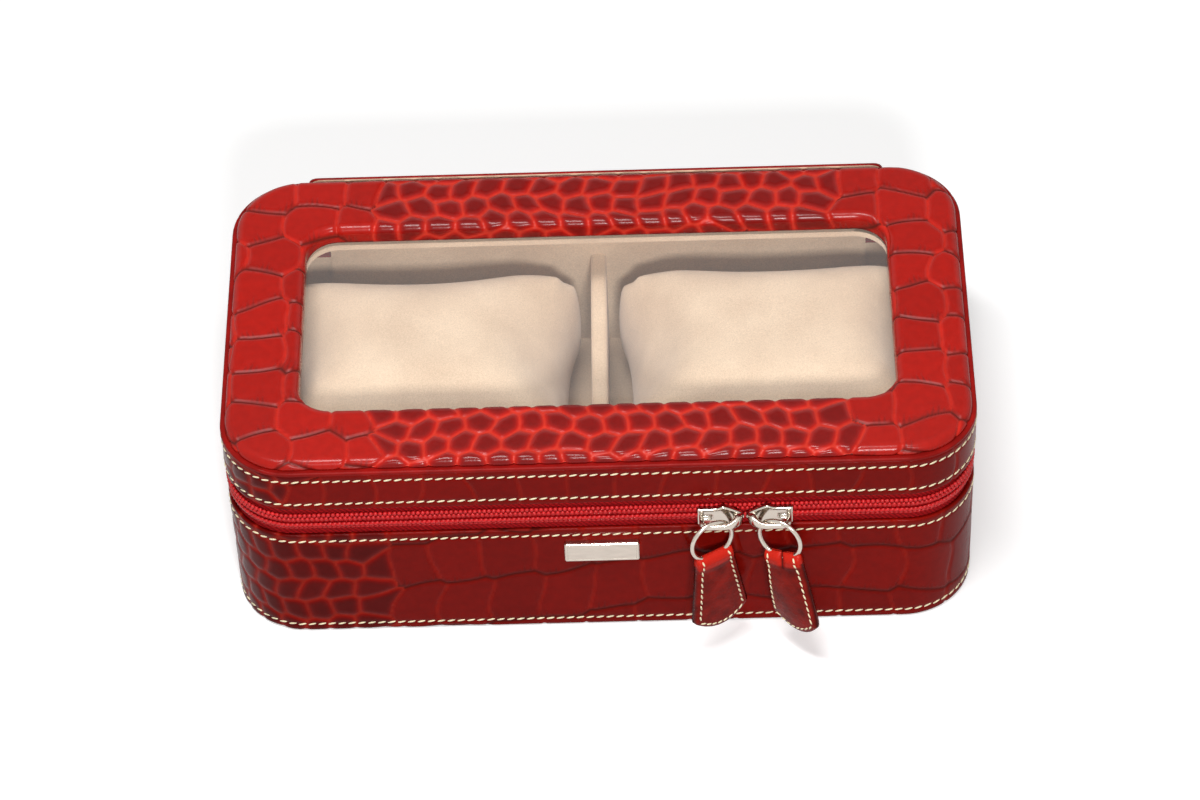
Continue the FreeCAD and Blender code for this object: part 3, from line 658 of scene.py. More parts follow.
@cached
def grey_board(name):
    """Pressed fibre board inside the walls."""
    shader = Shader(name)
    shader.colour(shader.ramp(shader.noise(scale=600.0, detail=5.0), (
        (0.3, (0.22, 0.17, 0.12)), (0.7, (0.36, 0.28, 0.20)))))
    shader.bump(shader.noise(scale=900.0, detail=4.0), distance=0.2 * MM, strength=0.5)
    shader.set(roughness=0.9)
    return shader.material


# Pieces

def add_piece(name, mesh, material, body, replaces=()):
    """Puts a mesh in the scene as a piece that moves with a body."""
    piece = bpy.data.objects.new(name, mesh)
    bpy.context.scene.collection.objects.link(piece)
    mesh.materials.clear()
    mesh.materials.append(material)
    if replaces:
        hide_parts(*replaces)
    if body is not None:
        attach(piece, body)
    return piece


def paint(material, *names):
    """Gives CAD nodes a material."""
    for name in names:
        NODES[name].data.materials.clear()
        NODES[name].data.materials.append(material)


def mesh_from(bm, name):
    """Ends a bmesh: its mesh has outward faces and smooth shading."""
    bmesh.ops.recalc_face_normals(bm, faces=bm.faces)
    mesh = bpy.data.meshes.new(name)
    bm.to_mesh(mesh)
    bm.free()
    mesh.shade_smooth()
    return mesh


def add_box(bm, low, high):
    """Adds a box between two corners."""
    size = [abs(part) for part in high - low]
    place = Matrix.Translation((low + high) / 2)
    bmesh.ops.create_cube(bm, size=1.0, matrix=place @ Matrix.Diagonal((*size, 1.0)))


def round_edges(bm, edges, width, segments):
    """Rounds edges; a width that is too large for them is cut back."""
    bmesh.ops.bevel(bm, geom=edges, offset=width, offset_type="OFFSET", segments=segments, profile=0.5,
                    affect="EDGES", material=-1, clamp_overlap=True)


def loft(name, rows, values=None, capped=False):
    """Makes a closed mesh from rows of points: each row is a closed line, and so is each column.

    A capped loft is open along its columns, and its first and last row are filled.
    """
    count, stations = rows.shape[:2]
    spans = count - 1 if capped else count
    bm = bmesh.new()
    bmesh.ops.create_grid(bm, x_segments=stations, y_segments=spans, size=1.0)
    mesh = bpy.data.meshes.new(name)
    bm.to_mesh(mesh)
    flat = np.empty(len(mesh.vertices) * 3, np.float32)
    mesh.vertices.foreach_get("co", flat)
    flat = flat.reshape(-1, 3)
    column = np.rint((flat[:, 0] + 1) / 2 * stations).astype(int) % stations
    row = np.rint((flat[:, 1] + 1) / 2 * spans).astype(int) % count
    mesh.vertices.foreach_set("co", rows[row, column].astype(np.float32).ravel())
    for label, value in (values or {}).items():
        layer = mesh.attributes.new(label, "FLOAT", "POINT")
        layer.data.foreach_set("value", value[row, column].astype(np.float32))
    bm.clear()
    bm.from_mesh(mesh)
    bpy.data.meshes.remove(mesh)
    bmesh.ops.remove_doubles(bm, verts=bm.verts, dist=MERGE_DISTANCE)
    if capped:
        bmesh.ops.holes_fill(bm, edges=bm.edges, sides=0)
    return mesh_from(bm, name)


def emboss(rows, heights, row, direction):
    """Moves rows of points along their surface's outward direction, which is known for one row."""
    along = np.roll(rows, -1, 1) - np.roll(rows, 1, 1)
    across = np.roll(rows, -1, 0) - np.roll(rows, 1, 0)
    normal = np.cross(along, across)
    normal /= np.maximum(np.linalg.norm(normal, axis=2, keepdims=True), LEAST_NORMAL)
    if np.sum(normal[row] * direction) < 0:
        normal = -normal
    return rows + normal * heights[..., None]


class Stations:
    """Places round the case that all its rings share, anticlockwise from the middle of the rear."""

    def __init__(self, length, depth, radius, spacing):
        half_x = length / 2 - radius
        half_y = depth / 2 - radius
        corner_steps = round(QUARTER * radius / spacing)
        runs = (((0, 1), (-1, 1), half_x), ((-1, 1), (-1, -1), 2 * half_y), ((-1, -1), (1, -1), 2 * half_x),
                ((1, -1), (1, 1), 2 * half_y), ((1, 1), (0, 1), half_x))
        shares, angles = [], []
        for number, (start, end, run) in enumerate(runs):
            facing = QUARTER * (number + 1)
            steps = round(run / spacing)
            for step in range(steps):
                shares.append(np.array(start) + (np.array(end) - np.array(start)) * step / steps)
                angles.append(facing)
            if number < len(runs) - 1:
                for step in range(corner_steps):
                    shares.append(np.array(end))
                    angles.append(facing + QUARTER * step / corner_steps)
        self.size = (length, depth, radius)
        self.shares = np.array(shares, float)
        self.facing = np.stack([np.cos(angles), np.sin(angles)], 1)
        outline = self.ring(*self.size)
        steps = np.linalg.norm(np.roll(outline, -1, 0) - outline, axis=1)
        self.path = np.concatenate([[0.0], np.cumsum(steps)])
        self.length = self.path[-1]

    def ring(self, length, depth, radius):
        """Points of a rounded rectangle at the stations."""
        core = self.shares * np.array([length / 2 - radius, depth / 2 - radius])
        return core + radius * self.facing

    def inset(self, amount):
        """Points of the case's outline, moved inwards."""
        length, depth, radius = self.size
        return self.ring(length - 2 * amount, depth - 2 * amount, radius - amount)

    def along(self, distances, inset):
        """Points, outward directions and forward directions at distances along the outline."""
        points = self.inset(inset)
        closed = np.concatenate([points, points[:1]])
        facing = np.concatenate([self.facing, self.facing[:1]])
        place = np.stack([np.interp(distances, self.path, closed[:, axis]) for axis in (0, 1)], 1)
        out = np.stack([np.interp(distances, self.path, facing[:, axis]) for axis in (0, 1)], 1)
        out /= np.linalg.norm(out, axis=1, keepdims=True)
        return place, out, np.stack([-out[:, 1], out[:, 0]], 1)


def case_stations(spacing):
    """Stations round the outline of the case."""
    size = BASE_HIGH - BASE_LOW
    return Stations(size.x, size.y, settings().form.corner_radius, spacing)


# Embossed scales

def scale_rows(random, low, high, pitch, stagger, jitter):
    """Centres of scales, laid in rows over a rectangle."""
    columns = math.ceil((high[0] - low[0]) / pitch[0]) + 1
    lines = math.ceil((high[1] - low[1]) / pitch[1]) + 1
    column, line = np.meshgrid(np.arange(columns), np.arange(lines))
    centres = np.stack([low[0] + (column + stagger * (line % 2)) * pitch[0], low[1] + line * pitch[1]], -1)
    centres = centres.reshape(-1, 2)
    return centres + random.uniform(-jitter, jitter, centres.shape) * np.array(pitch)


def scale_field(points, centres):
    """For each point: its scale's number, and the distances to the scale's edge, lower and upper edge."""
    tree = KDTree(len(centres))
    for number, centre in enumerate(centres):
        tree.insert((*centre, 0.0), number)
    tree.balance()
    near = np.array([[found[1] for found in tree.find_n((*point, 0.0), NEAR_SCALES)] for point in points])
    own, others = near[:, 0], near[:, 1:]
    own_centre, other_centre = centres[own], centres[others]
    apart = np.linalg.norm(other_centre - own_centre[:, None], axis=2)
    own_square = ((points - own_centre) ** 2).sum(1)
    other_square = ((points[:, None] - other_centre) ** 2).sum(2)
    to_edge = (other_square - own_square[:, None]) / (2 * apart)
    edge = -np.log(np.exp(-to_edge / GROOVE_ROUNDING).sum(1)) * GROOVE_ROUNDING
    rise = (own_centre[:, None, 1] - other_centre[..., 1]) / apart
    lower = np.where(rise > STEEP_EDGE, to_edge, FAR_EDGE).min(1)
    upper = np.where(rise < -STEEP_EDGE, to_edge, FAR_EDGE).min(1)
    return own, np.maximum(edge, 0.0), lower, upper


def sway(points):
    """Bends the plan of the scales, so that no row runs quite straight."""
    u, v = points[:, 0] / MM, points[:, 1] / MM
    return points + MM * np.stack([
        0.9 * np.sin(v / 5.3 + 0.6 * np.sin(u / 17.0)) + 0.5 * np.sin(v / 2.9 + u / 23.0),
        0.9 * np.sin(u / 8.7 + 1.1) + 0.6 * np.sin(u / 4.1 + v / 9.0)], 1)


class Hide:
    """A piece of embossed hide: small round scales where the test says so, large square ones elsewhere.

    The tone range gives the scales' brightness, random from scale to scale and set lower on the side bands as
    painted shade; a drift makes the rows rise and fall along the hide.
    """

    def __init__(self, low, high, small_pitch, large_pitch, is_small, seed, tone_and_shade, drift=None):
        self.tone_and_shade = tone_and_shade
        self.drift = drift
        random = np.random.default_rng(seed)
        round_scales = scale_rows(random, low, high, small_pitch, stagger=0.34, jitter=0.16)
        square_scales = scale_rows(random, low, high, large_pitch, stagger=0.16, jitter=0.09)
        round_scales = round_scales[is_small(round_scales)]
        square_scales = square_scales[~is_small(square_scales)]
        self.centres = np.concatenate([round_scales, square_scales])
        self.large = np.arange(len(self.centres)) >= len(round_scales)
        self.tones = random.random(len(self.centres))

    def emboss(self, points):
        """Height, and the values that the leather's colours need, at points of the hide."""
        shape = points.shape[:-1]
        flat = sway(points.reshape(-1, 2))
        if self.drift is not None:
            amount, middle, period = self.drift
            flat[:, 1] -= amount * np.sin((flat[:, 0] - middle) * 2 * math.pi / period)
        number, edge, lower, upper = scale_field(flat, self.centres)
        large, tones = self.large[number], self.tones[number]
        width = np.where(large, LARGE_GROOVE, SMALL_GROOVE)
        rise = 1 - (1 - np.clip(edge / width, 0, 1)) ** 2
        # Painted shade along the lower and upper edges of large scales, with feathered streaks above each
        # lower edge
        shade_feather = 0.5 + 0.5 * np.sin(flat[:, 0] / SHADE_FEATHER_PERIOD + 9 * tones)
        shade_feather *= 0.6 + 0.4 * np.sin(flat[:, 0] / SHADE_FEATHER_SWELL + 5 * tones)
        shortest, longer = SHADE_STREAK_LENGTHS
        shade_streaks = SHADE_STREAK_DEPTH * np.clip(1 - lower / (shortest + longer * shade_feather ** 2), 0, 1)
        crease_shade = np.maximum(np.exp(-(np.minimum(lower, upper) / CREASE_SHADE_HALF) ** 2), shade_streaks)
        on_large = np.clip(edge / LARGE_REACH, *LARGE_RANGE)
        on_small = np.minimum(edge / SMALL_REACH, 1.0)
        values = {
            "edge": np.where(large, on_large, on_small),
            "tone_and_shade": self.tone_and_shade[0] + (self.tone_and_shade[1] - self.tone_and_shade[0]) * tones,
            "crease_shade": np.where(large, crease_shade * CREASE_SHADE_DEPTH, 0.0),
        }
        return (rise - 1).reshape(shape), {name: value.reshape(shape) for name, value in values.items()}


def arc_samples(start, end, count):
    """Angles from start to end, without the last."""
    return np.linspace(start, end, count, endpoint=False)


TopProfile = namedtuple("TopProfile", "rings first_bend middle last_bend visible half_size")


def top_profile():
    """Section of the padded top, from the rim's seam over the foam and down round the window.

    Each ring has its plan and height, and its place on the flat hide: a plan, and the reach out from it.
    With them come the numbers of four rings: the first of the outer bend, one in the middle of the flat,
    one half way round the bend at the window, and the first that is hidden.
    """
    form, spacing = settings().form, settings().leather.spacing
    size = TOP_HIGH - TOP_LOW
    grow = np.array([2.0, 2.0, 1.0])
    seam = np.array([size.x, size.y, form.corner_radius - (BASE_HIGH.x - TOP_HIGH.x)])
    outer = seam + grow * form.pad_swell
    window = np.array([form.window_length, form.window_depth, form.window_radius])
    bend = form.top_rounding
    top = TOP_HIGH.z
    arc = bend * QUARTER
    arc_steps = round(arc / spacing)
    outer_flat = outer - grow * bend
    inner_flat = window + grow * bend
    border = (outer_flat[1] - inner_flat[1]) / 2
    rings = []
    wall = top - bend - RIM_LEVEL
    for share in (0.0, 0.9):
        reach = arc + (1 - share) * wall + form.pad_swell
        rings.append((seam, RIM_LEVEL + share * wall, outer_flat, reach))
    for share in (0.35, 0.7):
        reach = arc + (1 - share) * form.pad_swell
        rings.append((seam + (outer - seam) * share, top - bend, outer_flat, reach))
    first_bend = len(rings)
    for angle in arc_samples(0, QUARTER, arc_steps):
        inwards = bend * (1 - math.cos(angle))
        rings.append((outer - grow * inwards, top - bend + bend * math.sin(angle), outer_flat,
                      arc - bend * angle))
    middle = round(first_bend + arc_steps + border / spacing / 2)
    for share in arc_samples(0, 1, round(border / spacing)):
        plan = outer_flat + (inner_flat - outer_flat) * share
        rings.append((plan, top, plan, 0.0))
    last_bend = len(rings) + arc_steps // 2
    for angle in arc_samples(0, QUARTER, arc_steps):
        inwards = bend * math.sin(angle)
        rings.append((inner_flat - grow * inwards, top - bend + bend * math.cos(angle), inner_flat,
                      -bend * angle))
    inner_wall = top - bend - TOP_LOW.z
    for share in np.linspace(0, 1, round(inner_wall / spacing)):
        rings.append((window, top - bend - share * inner_wall, inner_flat, -arc - share * inner_wall))
    visible = len(rings)
    skin = form.top_thickness
    for plan, level in ((window + grow * skin, TOP_LOW.z), (inner_flat, top - skin),
                        (outer_flat, top - skin), (seam - grow * skin, RIM_LEVEL)):
        rings.append((plan, level, plan, 0.0))
    return TopProfile(rings, first_bend, middle, last_bend, visible, outer[:2] / 2)


def build_lid_top():
    """Padded top of embossed leather, whose relief fades out at the seam and at the window."""
    form, look = settings().form, settings().leather
    stations = case_stations(look.spacing)
    profile = top_profile()
    rows = np.zeros((len(profile.rings), len(stations.shares), 3))
    unrolled = np.zeros(rows.shape[:2] + (2,))
    for number, (plan, level, flat, reach) in enumerate(profile.rings):
        rows[number, :, :2] = stations.ring(*plan)
        rows[number, :, 2] = level
        unrolled[number] = stations.ring(*flat) + stations.facing * reach

    patch_middle, patch_half = 4 * MM, 62 * MM
    patch_start = form.window_depth / 2 - 6 * MM

    def is_small(points):
        return (np.abs(points[:, 1]) > patch_start) & (np.abs(points[:, 0] - patch_middle) < patch_half)

    margin = 8 * MM
    reach = profile.half_size + margin
    hide = Hide(-reach, reach, (look.small_scale * 1.12, look.small_scale * 1.06),
                (look.large_scale * 0.98, look.large_scale * 0.80), is_small, look.seed, LID_TONES)
    heights, values = hide.emboss(unrolled)
    heights *= look.top_relief
    heights[:profile.first_bend] *= np.linspace(0, 1, profile.first_bend)[:, None]
    fading = slice(profile.last_bend, profile.visible)
    heights[fading] *= np.linspace(1, 0, profile.visible - profile.last_bend)[:, None]
    heights[profile.visible:] = 0
    rows = emboss(rows, heights, profile.middle, np.array([0, 0, 1.0]))
    mesh = loft("lid_top_croc", rows, values)
    add_piece("lid_top_croc", mesh, croc_leather(), "lid", ["lid_top_leather"])


def band_profile(low, high, foot, lip, thickness, spacing):
    """Closed section of a side band as (inset, height): up the outer face, over the lip and down inside."""
    section = []
    for angle in arc_samples(-QUARTER, 0, 5):
        section.append((foot * (1 - math.cos(angle)), low + foot * (1 + math.sin(angle))))
    face = high - lip - low - foot
    for share in arc_samples(0, 1, round(face / spacing)):
        section.append((0.0, low + foot + share * face))
    for angle in arc_samples(0, QUARTER, 5):
        section.append((lip * (1 - math.cos(angle)), high - lip + lip * math.sin(angle)))
    section.append((lip, high))
    visible = len(section)
    section.append((thickness, high))
    section.append((thickness, low))
    return section, visible


def build_band(name, node, body, low, high, foot, relief, hide, channels, spacing):
    """Embossed leather band round the case, pressed down along its rows of stitches."""
    form = settings().form
    stations = case_stations(spacing)
    section, visible = band_profile(low, high, foot, form.lip_rounding, form.band_thickness, spacing)
    rows = np.zeros((len(section), len(stations.shares), 3))
    unrolled = np.zeros(rows.shape[:2] + (2,))
    for number, (inwards, level) in enumerate(section):
        rows[number, :, :2] = stations.inset(inwards)
        rows[number, :, 2] = level
        unrolled[number, :, 0] = stations.path[:-1]
        unrolled[number, :, 1] = level
    heights, values = hide.emboss(unrolled)
    levels = np.array([level for _, level in section])[:, None]
    heights = heights * relief
    pressed_half, channel_half, channel_depth = 0.9 * MM, 0.5 * MM, 0.22 * MM
    for channel in channels:
        pressed = np.exp(-((levels - channel) / pressed_half) ** 2)
        sunk = np.exp(-((levels - channel) / channel_half) ** 2)
        heights = heights * (1 - 0.8 * pressed) - channel_depth * sunk
    heights[visible:] = 0
    facing = np.zeros(rows.shape[1:])
    facing[:, :2] = stations.facing
    rows = emboss(rows, heights, visible // 2, facing)
    add_piece(name, loft(name, rows, values), band_leather(), body, [node])


def build_side_bands():
    """Embossed bands of the base and the lid."""
    form, look, thread = settings().form, settings().leather, settings().thread
    stations = case_stations(look.spacing)
    margin = np.array([10 * MM, 6 * MM])
    low = np.array([0.0, BASE_LOW.z]) - margin
    high = np.array([stations.length, BASE_HIGH.z]) + margin
    front_left = BASE_HIGH.x - form.corner_radius + (BASE_HIGH.y - BASE_LOW.y) + 6 * MM
    rear_right = 0.93 * stations.length
    front_half, rear_half, lid_half = 38 * MM, 24 * MM, 14 * MM

    def is_small_base(points):
        near = np.abs(points[:, 0] - front_left) < front_half
        far = np.abs(points[:, 0] - rear_right) < rear_half
        return near | far

    rows_sway = 8.0 * MM
    sway_start = stations.length / 2 - 18 * MM
    base_hide = Hide(low, high, (look.small_scale * 1.06, look.small_scale * 1.22),
                     (look.large_scale * 0.92, look.large_scale * 1.24), is_small_base, look.seed + 4,
                     SHADED_BAND_TONES, (rows_sway, sway_start, stations.length / 2))
    build_band("base_side_croc", "base_side_leather", "base", BASE_LOW.z, BASE_HIGH.z, form.foot_rounding,
               look.band_relief, base_hide, (thread.base_upper, thread.base_lower), 1.25 * look.spacing)

    def is_small_lid(points):
        return np.abs(points[:, 0] - front_left) < lid_half

    middle = (LID_LOW.z + LID_HIGH.z) / 2
    tall = look.large_scale * 1.5
    low[1], high[1] = middle - tall, middle + tall
    lid_hide = Hide(low, high, (look.small_scale * 1.06, look.small_scale * 0.94),
                    (look.large_scale * 0.86, tall), is_small_lid, look.seed + 9, SHADED_BAND_TONES)
    build_band("lid_side_croc", "lid_side_leather", "lid", LID_LOW.z, LID_HIGH.z, form.lip_rounding,
               look.band_relief, lid_hide, (thread.lid_upper, thread.lid_lower), look.spacing)


# Sewing

class Beads:
    """Many small rounded shapes in one mesh, made in short batches."""

    def __init__(self):
        self.batches = []
        self.bm = bmesh.new()
        self.count = 0

    def add(self, place, along, out, half_sizes, slant):
        """Adds a bead that lies along a direction on a surface, slanted there."""
        lean = Matrix.Rotation(slant, 3, out)
        along = lean @ along
        up = out.cross(along)
        half_length, half_out, half_up = half_sizes
        turn = Matrix((out * half_out, up * half_up, along * half_length)).transposed().to_4x4()
        bmesh.ops.create_uvsphere(self.bm, u_segments=8, v_segments=5, radius=1.0,
                                  matrix=Matrix.Translation(place) @ turn)
        self.count += 1
        if self.count % BATCH == 0:
            self.end_batch()

    def end_batch(self):
        """Puts the last beads aside."""
        mesh = bpy.data.meshes.new("batch")
        self.bm.to_mesh(mesh)
        self.bm.clear()
        self.batches.append(mesh)

    def mesh(self, name):
        """Joins all beads."""
        self.end_batch()
        for batch in self.batches:
            self.bm.from_mesh(batch)
            bpy.data.meshes.remove(batch)
        return mesh_from(self.bm, name)


def add_stitch(beads, place, along, out, length=None):
    """Adds one stitch: a plump lens that lies along a direction, slanted, on a surface."""
    look = settings().thread
    half = (length or look.length) / 2
    beads.add(place, along, out, (half, look.thickness / 2, look.thickness / 2), look.slant)


def sew_row(beads, stations, level, skip_hinge):
    """Sews a row round the case at one height."""
    look, form = settings().thread, settings().form
    count = round(stations.length / look.pitch)
    distances = (np.arange(count) + 0.5) * stations.length / count
    places, outs, forwards = stations.along(distances, look.sink)
    for place, out, forward in zip(places, outs, forwards):
        if skip_hinge and place[1] > 0 and abs(place[0]) < form.zip_end + look.pitch / 2:
            continue
        add_stitch(beads, Vector((*place, level)), Vector((*forward, 0)), Vector((*out, 0)))


def build_stitching():
    """Rows of stitches on the base and the lid."""
    look = settings().thread
    stations = case_stations(settings().leather.spacing)
    for name, body, rows in (("base_stitches", "base", ((look.base_upper, True), (look.base_lower, False))),
                             ("lid_stitches", "lid", ((look.lid_upper, True), (look.lid_lower, True)))):
        beads = Beads()
        for level, skip_hinge in rows:
            sew_row(beads, stations, level, skip_hinge)
        add_piece(name, beads.mesh(name), sewing_thread(), body)


# Hinge

def build_hinge():
    """Leather hinge: a sewn strip between base and lid."""
    size = HINGE_HIGH - HINGE_LOW
    spacing, corner, edge_fall, thickness = 1.0 * MM, 3.0 * MM, 0.35 * MM, size.y - 0.4 * MM
    bm = bmesh.new()
    bmesh.ops.create_grid(bm, x_segments=round(size.x / spacing), y_segments=round(size.z / spacing),
                          size=0.5)
    for vertex in bm.verts:
        x = vertex.co.x * size.x
        z = vertex.co.y * size.z
        over_x = abs(x) - (size.x / 2 - corner)
        over_z = abs(z) - (size.z / 2 - corner)
        if over_x > 0 and over_z > 0:
            reach = max(over_x, over_z) / math.hypot(over_x, over_z)
            x = math.copysign(size.x / 2 - corner + over_x * reach, x)
            z = math.copysign(size.z / 2 - corner + over_z * reach, z)
        edge = min(size.x / 2 - abs(x), size.z / 2 - abs(z), corner) / corner
        fall = edge_fall * (1 - edge) ** 3
        vertex.co = (x, HINGE_HIGH.y - fall, (HINGE_LOW.z + HINGE_HIGH.z) / 2 + z)
    bmesh.ops.recalc_face_normals(bm, faces=bm.faces)
    if bm.faces[0].normal.y < 0:
        bmesh.ops.reverse_faces(bm, faces=bm.faces)
    bmesh.ops.solidify(bm, geom=bm.faces, thickness=thickness)
    mesh = mesh_from(bm, "hinge_leather")
    hinge = add_piece("hinge_leather", mesh, hinge_leather(), None, ["hinge_strip"])
    reach = (LID_LOW.z - BASE_HIGH.z) / 2
    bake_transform(hinge)
    sew_hinge(size)


def sew_hinge(size):
    """Stitches along the hinge's edges, on the base and on the lid."""
    look = settings().thread
    inset = 1.8 * MM
    levels = {"base": HINGE_LOW.z + inset, "lid": HINGE_HIGH.z - inset}
    for body, level in levels.items():
        beads = Beads()
        count = round((size.x - 2 * inset) / look.pitch)
        for number in range(count):
            x = HINGE_LOW.x + inset + (number + 0.5) * (size.x - 2 * inset) / count
            add_stitch(beads, Vector((x, HINGE_HIGH.y, level)), Vector((-1, 0, 0)), Vector((0, 1, 0)))
        inner = BASE_HIGH.z if body == "base" else LID_LOW.z
        count = round((abs(level - inner) - 2 * inset) / look.pitch)
        for side in (-1, 1):
            for number in range(count):
                z = level + math.copysign((number + 1) * look.pitch, inner - level)
                add_stitch(beads, Vector((side * (size.x / 2 - inset), HINGE_HIGH.y, z)),
                           Vector((0, 0, 1)), Vector((0, 1, 0)))
        name = f"hinge_stitches_{body}"
        add_piece(name, beads.mesh(name), sewing_thread(), body)


# Zip

def coil_distances(stations, pitch):
    """Distances along the outline that lie on the zip, at the coil's pitch."""
    count = round(stations.length / pitch)
    distances = (np.arange(count) + 0.5) * stations.length / count
    places, _, _ = stations.along(distances, 0.0)
    on_zip = (places[:, 1] < 0) | (np.abs(places[:, 0]) > settings().form.zip_end)
    return distances[on_zip]


def add_coil(name, node, body, low, high, rows):
    """Turns of one half of the zip, in rows along the middle of its coil."""
    pitch = settings().zip.pitch
    stations = case_stations(settings().leather.spacing)
    distances = coil_distances(stations, pitch)
    beads = Beads()
    for row in rows:
        level = (low.z + high.z) / 2 + row.lift
        places, outs, forwards = stations.along(distances + row.shifted * pitch / 2, row.inset)
        for place, out, forward in zip(places, outs, forwards):
            beads.add(Vector((*place, level)), Vector((*forward, 0)), Vector((*out, 0)), row.half_sizes,
                      row.slant)
    add_piece(name, beads.mesh(name), zip_coil(), body, [node])


def zip_stops(name, low, high, body):
    """Stops at both ends of one half of the zip, up against the hinge."""
    look = settings().zip
    rear = HINGE_LOW.y - look.stop_setback
    near = HINGE_HIGH.x - look.stop_tuck
    far = near + look.stop_length
    bm = bmesh.new()
    for way in (-1, 1):
        add_box(bm, Vector((way * near, rear - look.stop_depth, low)), Vector((way * far, rear, high)))
    round_edges(bm, list(bm.edges), look.stop_rounding, 2)
    add_piece(name, mesh_from(bm, name), zip_coil(), body)


def build_zip():
    """Coils of the zip on their woven tapes, with their end stops."""
    look = settings().zip
    add_coil("zip_coil_upper_turns", "zip_coil_upper", "lid", UPPER_COIL_LOW, UPPER_COIL_HIGH, UPPER_TURNS)
    add_coil("zip_coil_lower_turns", "zip_coil_lower", "base", LOWER_COIL_LOW, LOWER_COIL_HIGH, LOWER_TURNS)
    chain = (LOWER_COIL_HIGH.z + UPPER_COIL_LOW.z) / 2
    zip_stops("zip_stop_lower", chain - look.stop_reach, chain - look.stop_gap, "base")
    zip_stops("zip_stop_upper", chain + look.stop_gap, chain + look.stop_reach, "lid")
    paint(zip_tape(), "zip_tape_lower", "zip_tape_upper")


# Hardware

class RingFrame:
    """Place and directions of a ring and its pull, from the joint that the pull swings on."""

    def __init__(self, side):
        look = settings().metal
        joint = JOINTS[f"{side}_pull_swing"]
        self.out = Vector(joint["axis"]).normalized()
        upright = Vector((0, 0, 1))
        self.up = (upright - self.out * upright.dot(self.out)).normalized()
        self.across = self.up.cross(self.out)
        slip = look.left_slip if side == "left" else -look.right_slip
        self.centre = Vector(joint["pos_m"]) - self.across * slip - self.up * look.ring_drop

    def swung(self, angle):
        """Directions across and up of a pull that has swung to the right."""
        turn = Matrix.Rotation(angle, 3, self.out)
        return turn @ self.across, turn @ self.up


def build_rings():
    """Round wire rings."""
    look = settings().metal
    for side in ("left", "right"):
        ring_frame = RingFrame(side)
        bm = bmesh.new()
        turn = Matrix((ring_frame.across, ring_frame.out, ring_frame.up)).transposed().to_4x4()
        start = ring_frame.centre + ring_frame.across * look.ring_radius
        place = Matrix.Translation(start) @ turn @ Matrix.Rotation(QUARTER, 4, "X")
        wire = bmesh.ops.create_circle(bm, segments=16, radius=look.ring_wire / 2, matrix=place)
        bmesh.ops.rotate(bm, verts=wire["verts"], cent=start,
                         matrix=Matrix.Rotation(QUARTER, 3, ring_frame.across))
        edges = list({edge for vertex in wire["verts"] for edge in vertex.link_edges})
        bmesh.ops.spin(bm, geom=wire["verts"] + edges, cent=ring_frame.centre, axis=ring_frame.out,
                       angle=2 * math.pi, steps=72, use_merge=True)
        name = f"ring_wire_{side}"
        add_piece(name, mesh_from(bm, name), nickel(), f"{side}_ring", [f"ring_{side}"])


class SliderFrame:
    """Turns a slider's own measures into places: back from the nose's tip, out from the case, and up."""

    def __init__(self, side):
        low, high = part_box(f"slider_{side}")
        self.way = -1 if side == "left" else 1
        self.tip = high.x if side == "left" else low.x
        self.level = (low.z + high.z) / 2
        self.length = high.x - low.x
        self.half_height = (high.z - low.z) / 2
        self.reach = BASE_LOW.y - low.y
        self.depth = high.y - BASE_LOW.y

    def point(self, back, out, up):
        """A place on the slider."""
        return self.tip + self.way * back, BASE_LOW.y - out, self.level + up


def slider_outline():
    """Outline of a slider with its corners evened out: shares of its length, and of its half height."""
    shares, heights = np.array(SLIDER_OUTLINE).T
    stations = np.linspace(0, 1, 201)
    heights = np.interp(stations, shares, heights)
    half_window = 3
    window = np.full(2 * half_window + 1, 1 / (2 * half_window + 1))
    for _ in range(3):
        heights[half_window:-half_window] = np.convolve(heights, window, "valid")
    return stations, heights


def slider_plate(frame_of, back_face, front_face, inset, slot_depth):
    """Plate of a slider: pointed nose, broad shoulders, slim tail with a slot between two bands."""
    look = settings().metal
    stations, heights = slider_outline()
    slot_ramp = 0.4 * MM
    rows = []
    for share in SLIDER_STATIONS:
        back = frame_of.length * share
        half = np.interp(share, stations, heights) * frame_of.half_height - inset * min(1.0, share * 6)
        bend = min(look.plate_rounding, half * 0.4)
        to_end = min(1.0, (1 - share) * frame_of.length / look.plate_rounding)
        front = front_face - (1 - math.sqrt(1 - (1 - to_end) ** 2)) * look.plate_rounding
        slot = np.clip((back - look.slot_start) / slot_ramp, 0, 1)
        rounding = [(front - bend * (1 - math.sin(angle)), half - bend * (1 - math.cos(angle)))
                    for angle in np.linspace(0, QUARTER, 5)]
        section = [(back_face, half), *rounding]
        for up in np.linspace(half - bend, bend - half, 25)[1:-1]:
            dip = slot_depth * slot * math.exp(-(up / look.slot_half) ** 8)
            section.append((front - dip, up))
        section += [(out, -up) for out, up in reversed(rounding)]
        section.append((back_face, -half))
        rows.append([frame_of.point(back, out, up) for out, up in section])
    return loft("slider_plate", np.array(rows), capped=True)


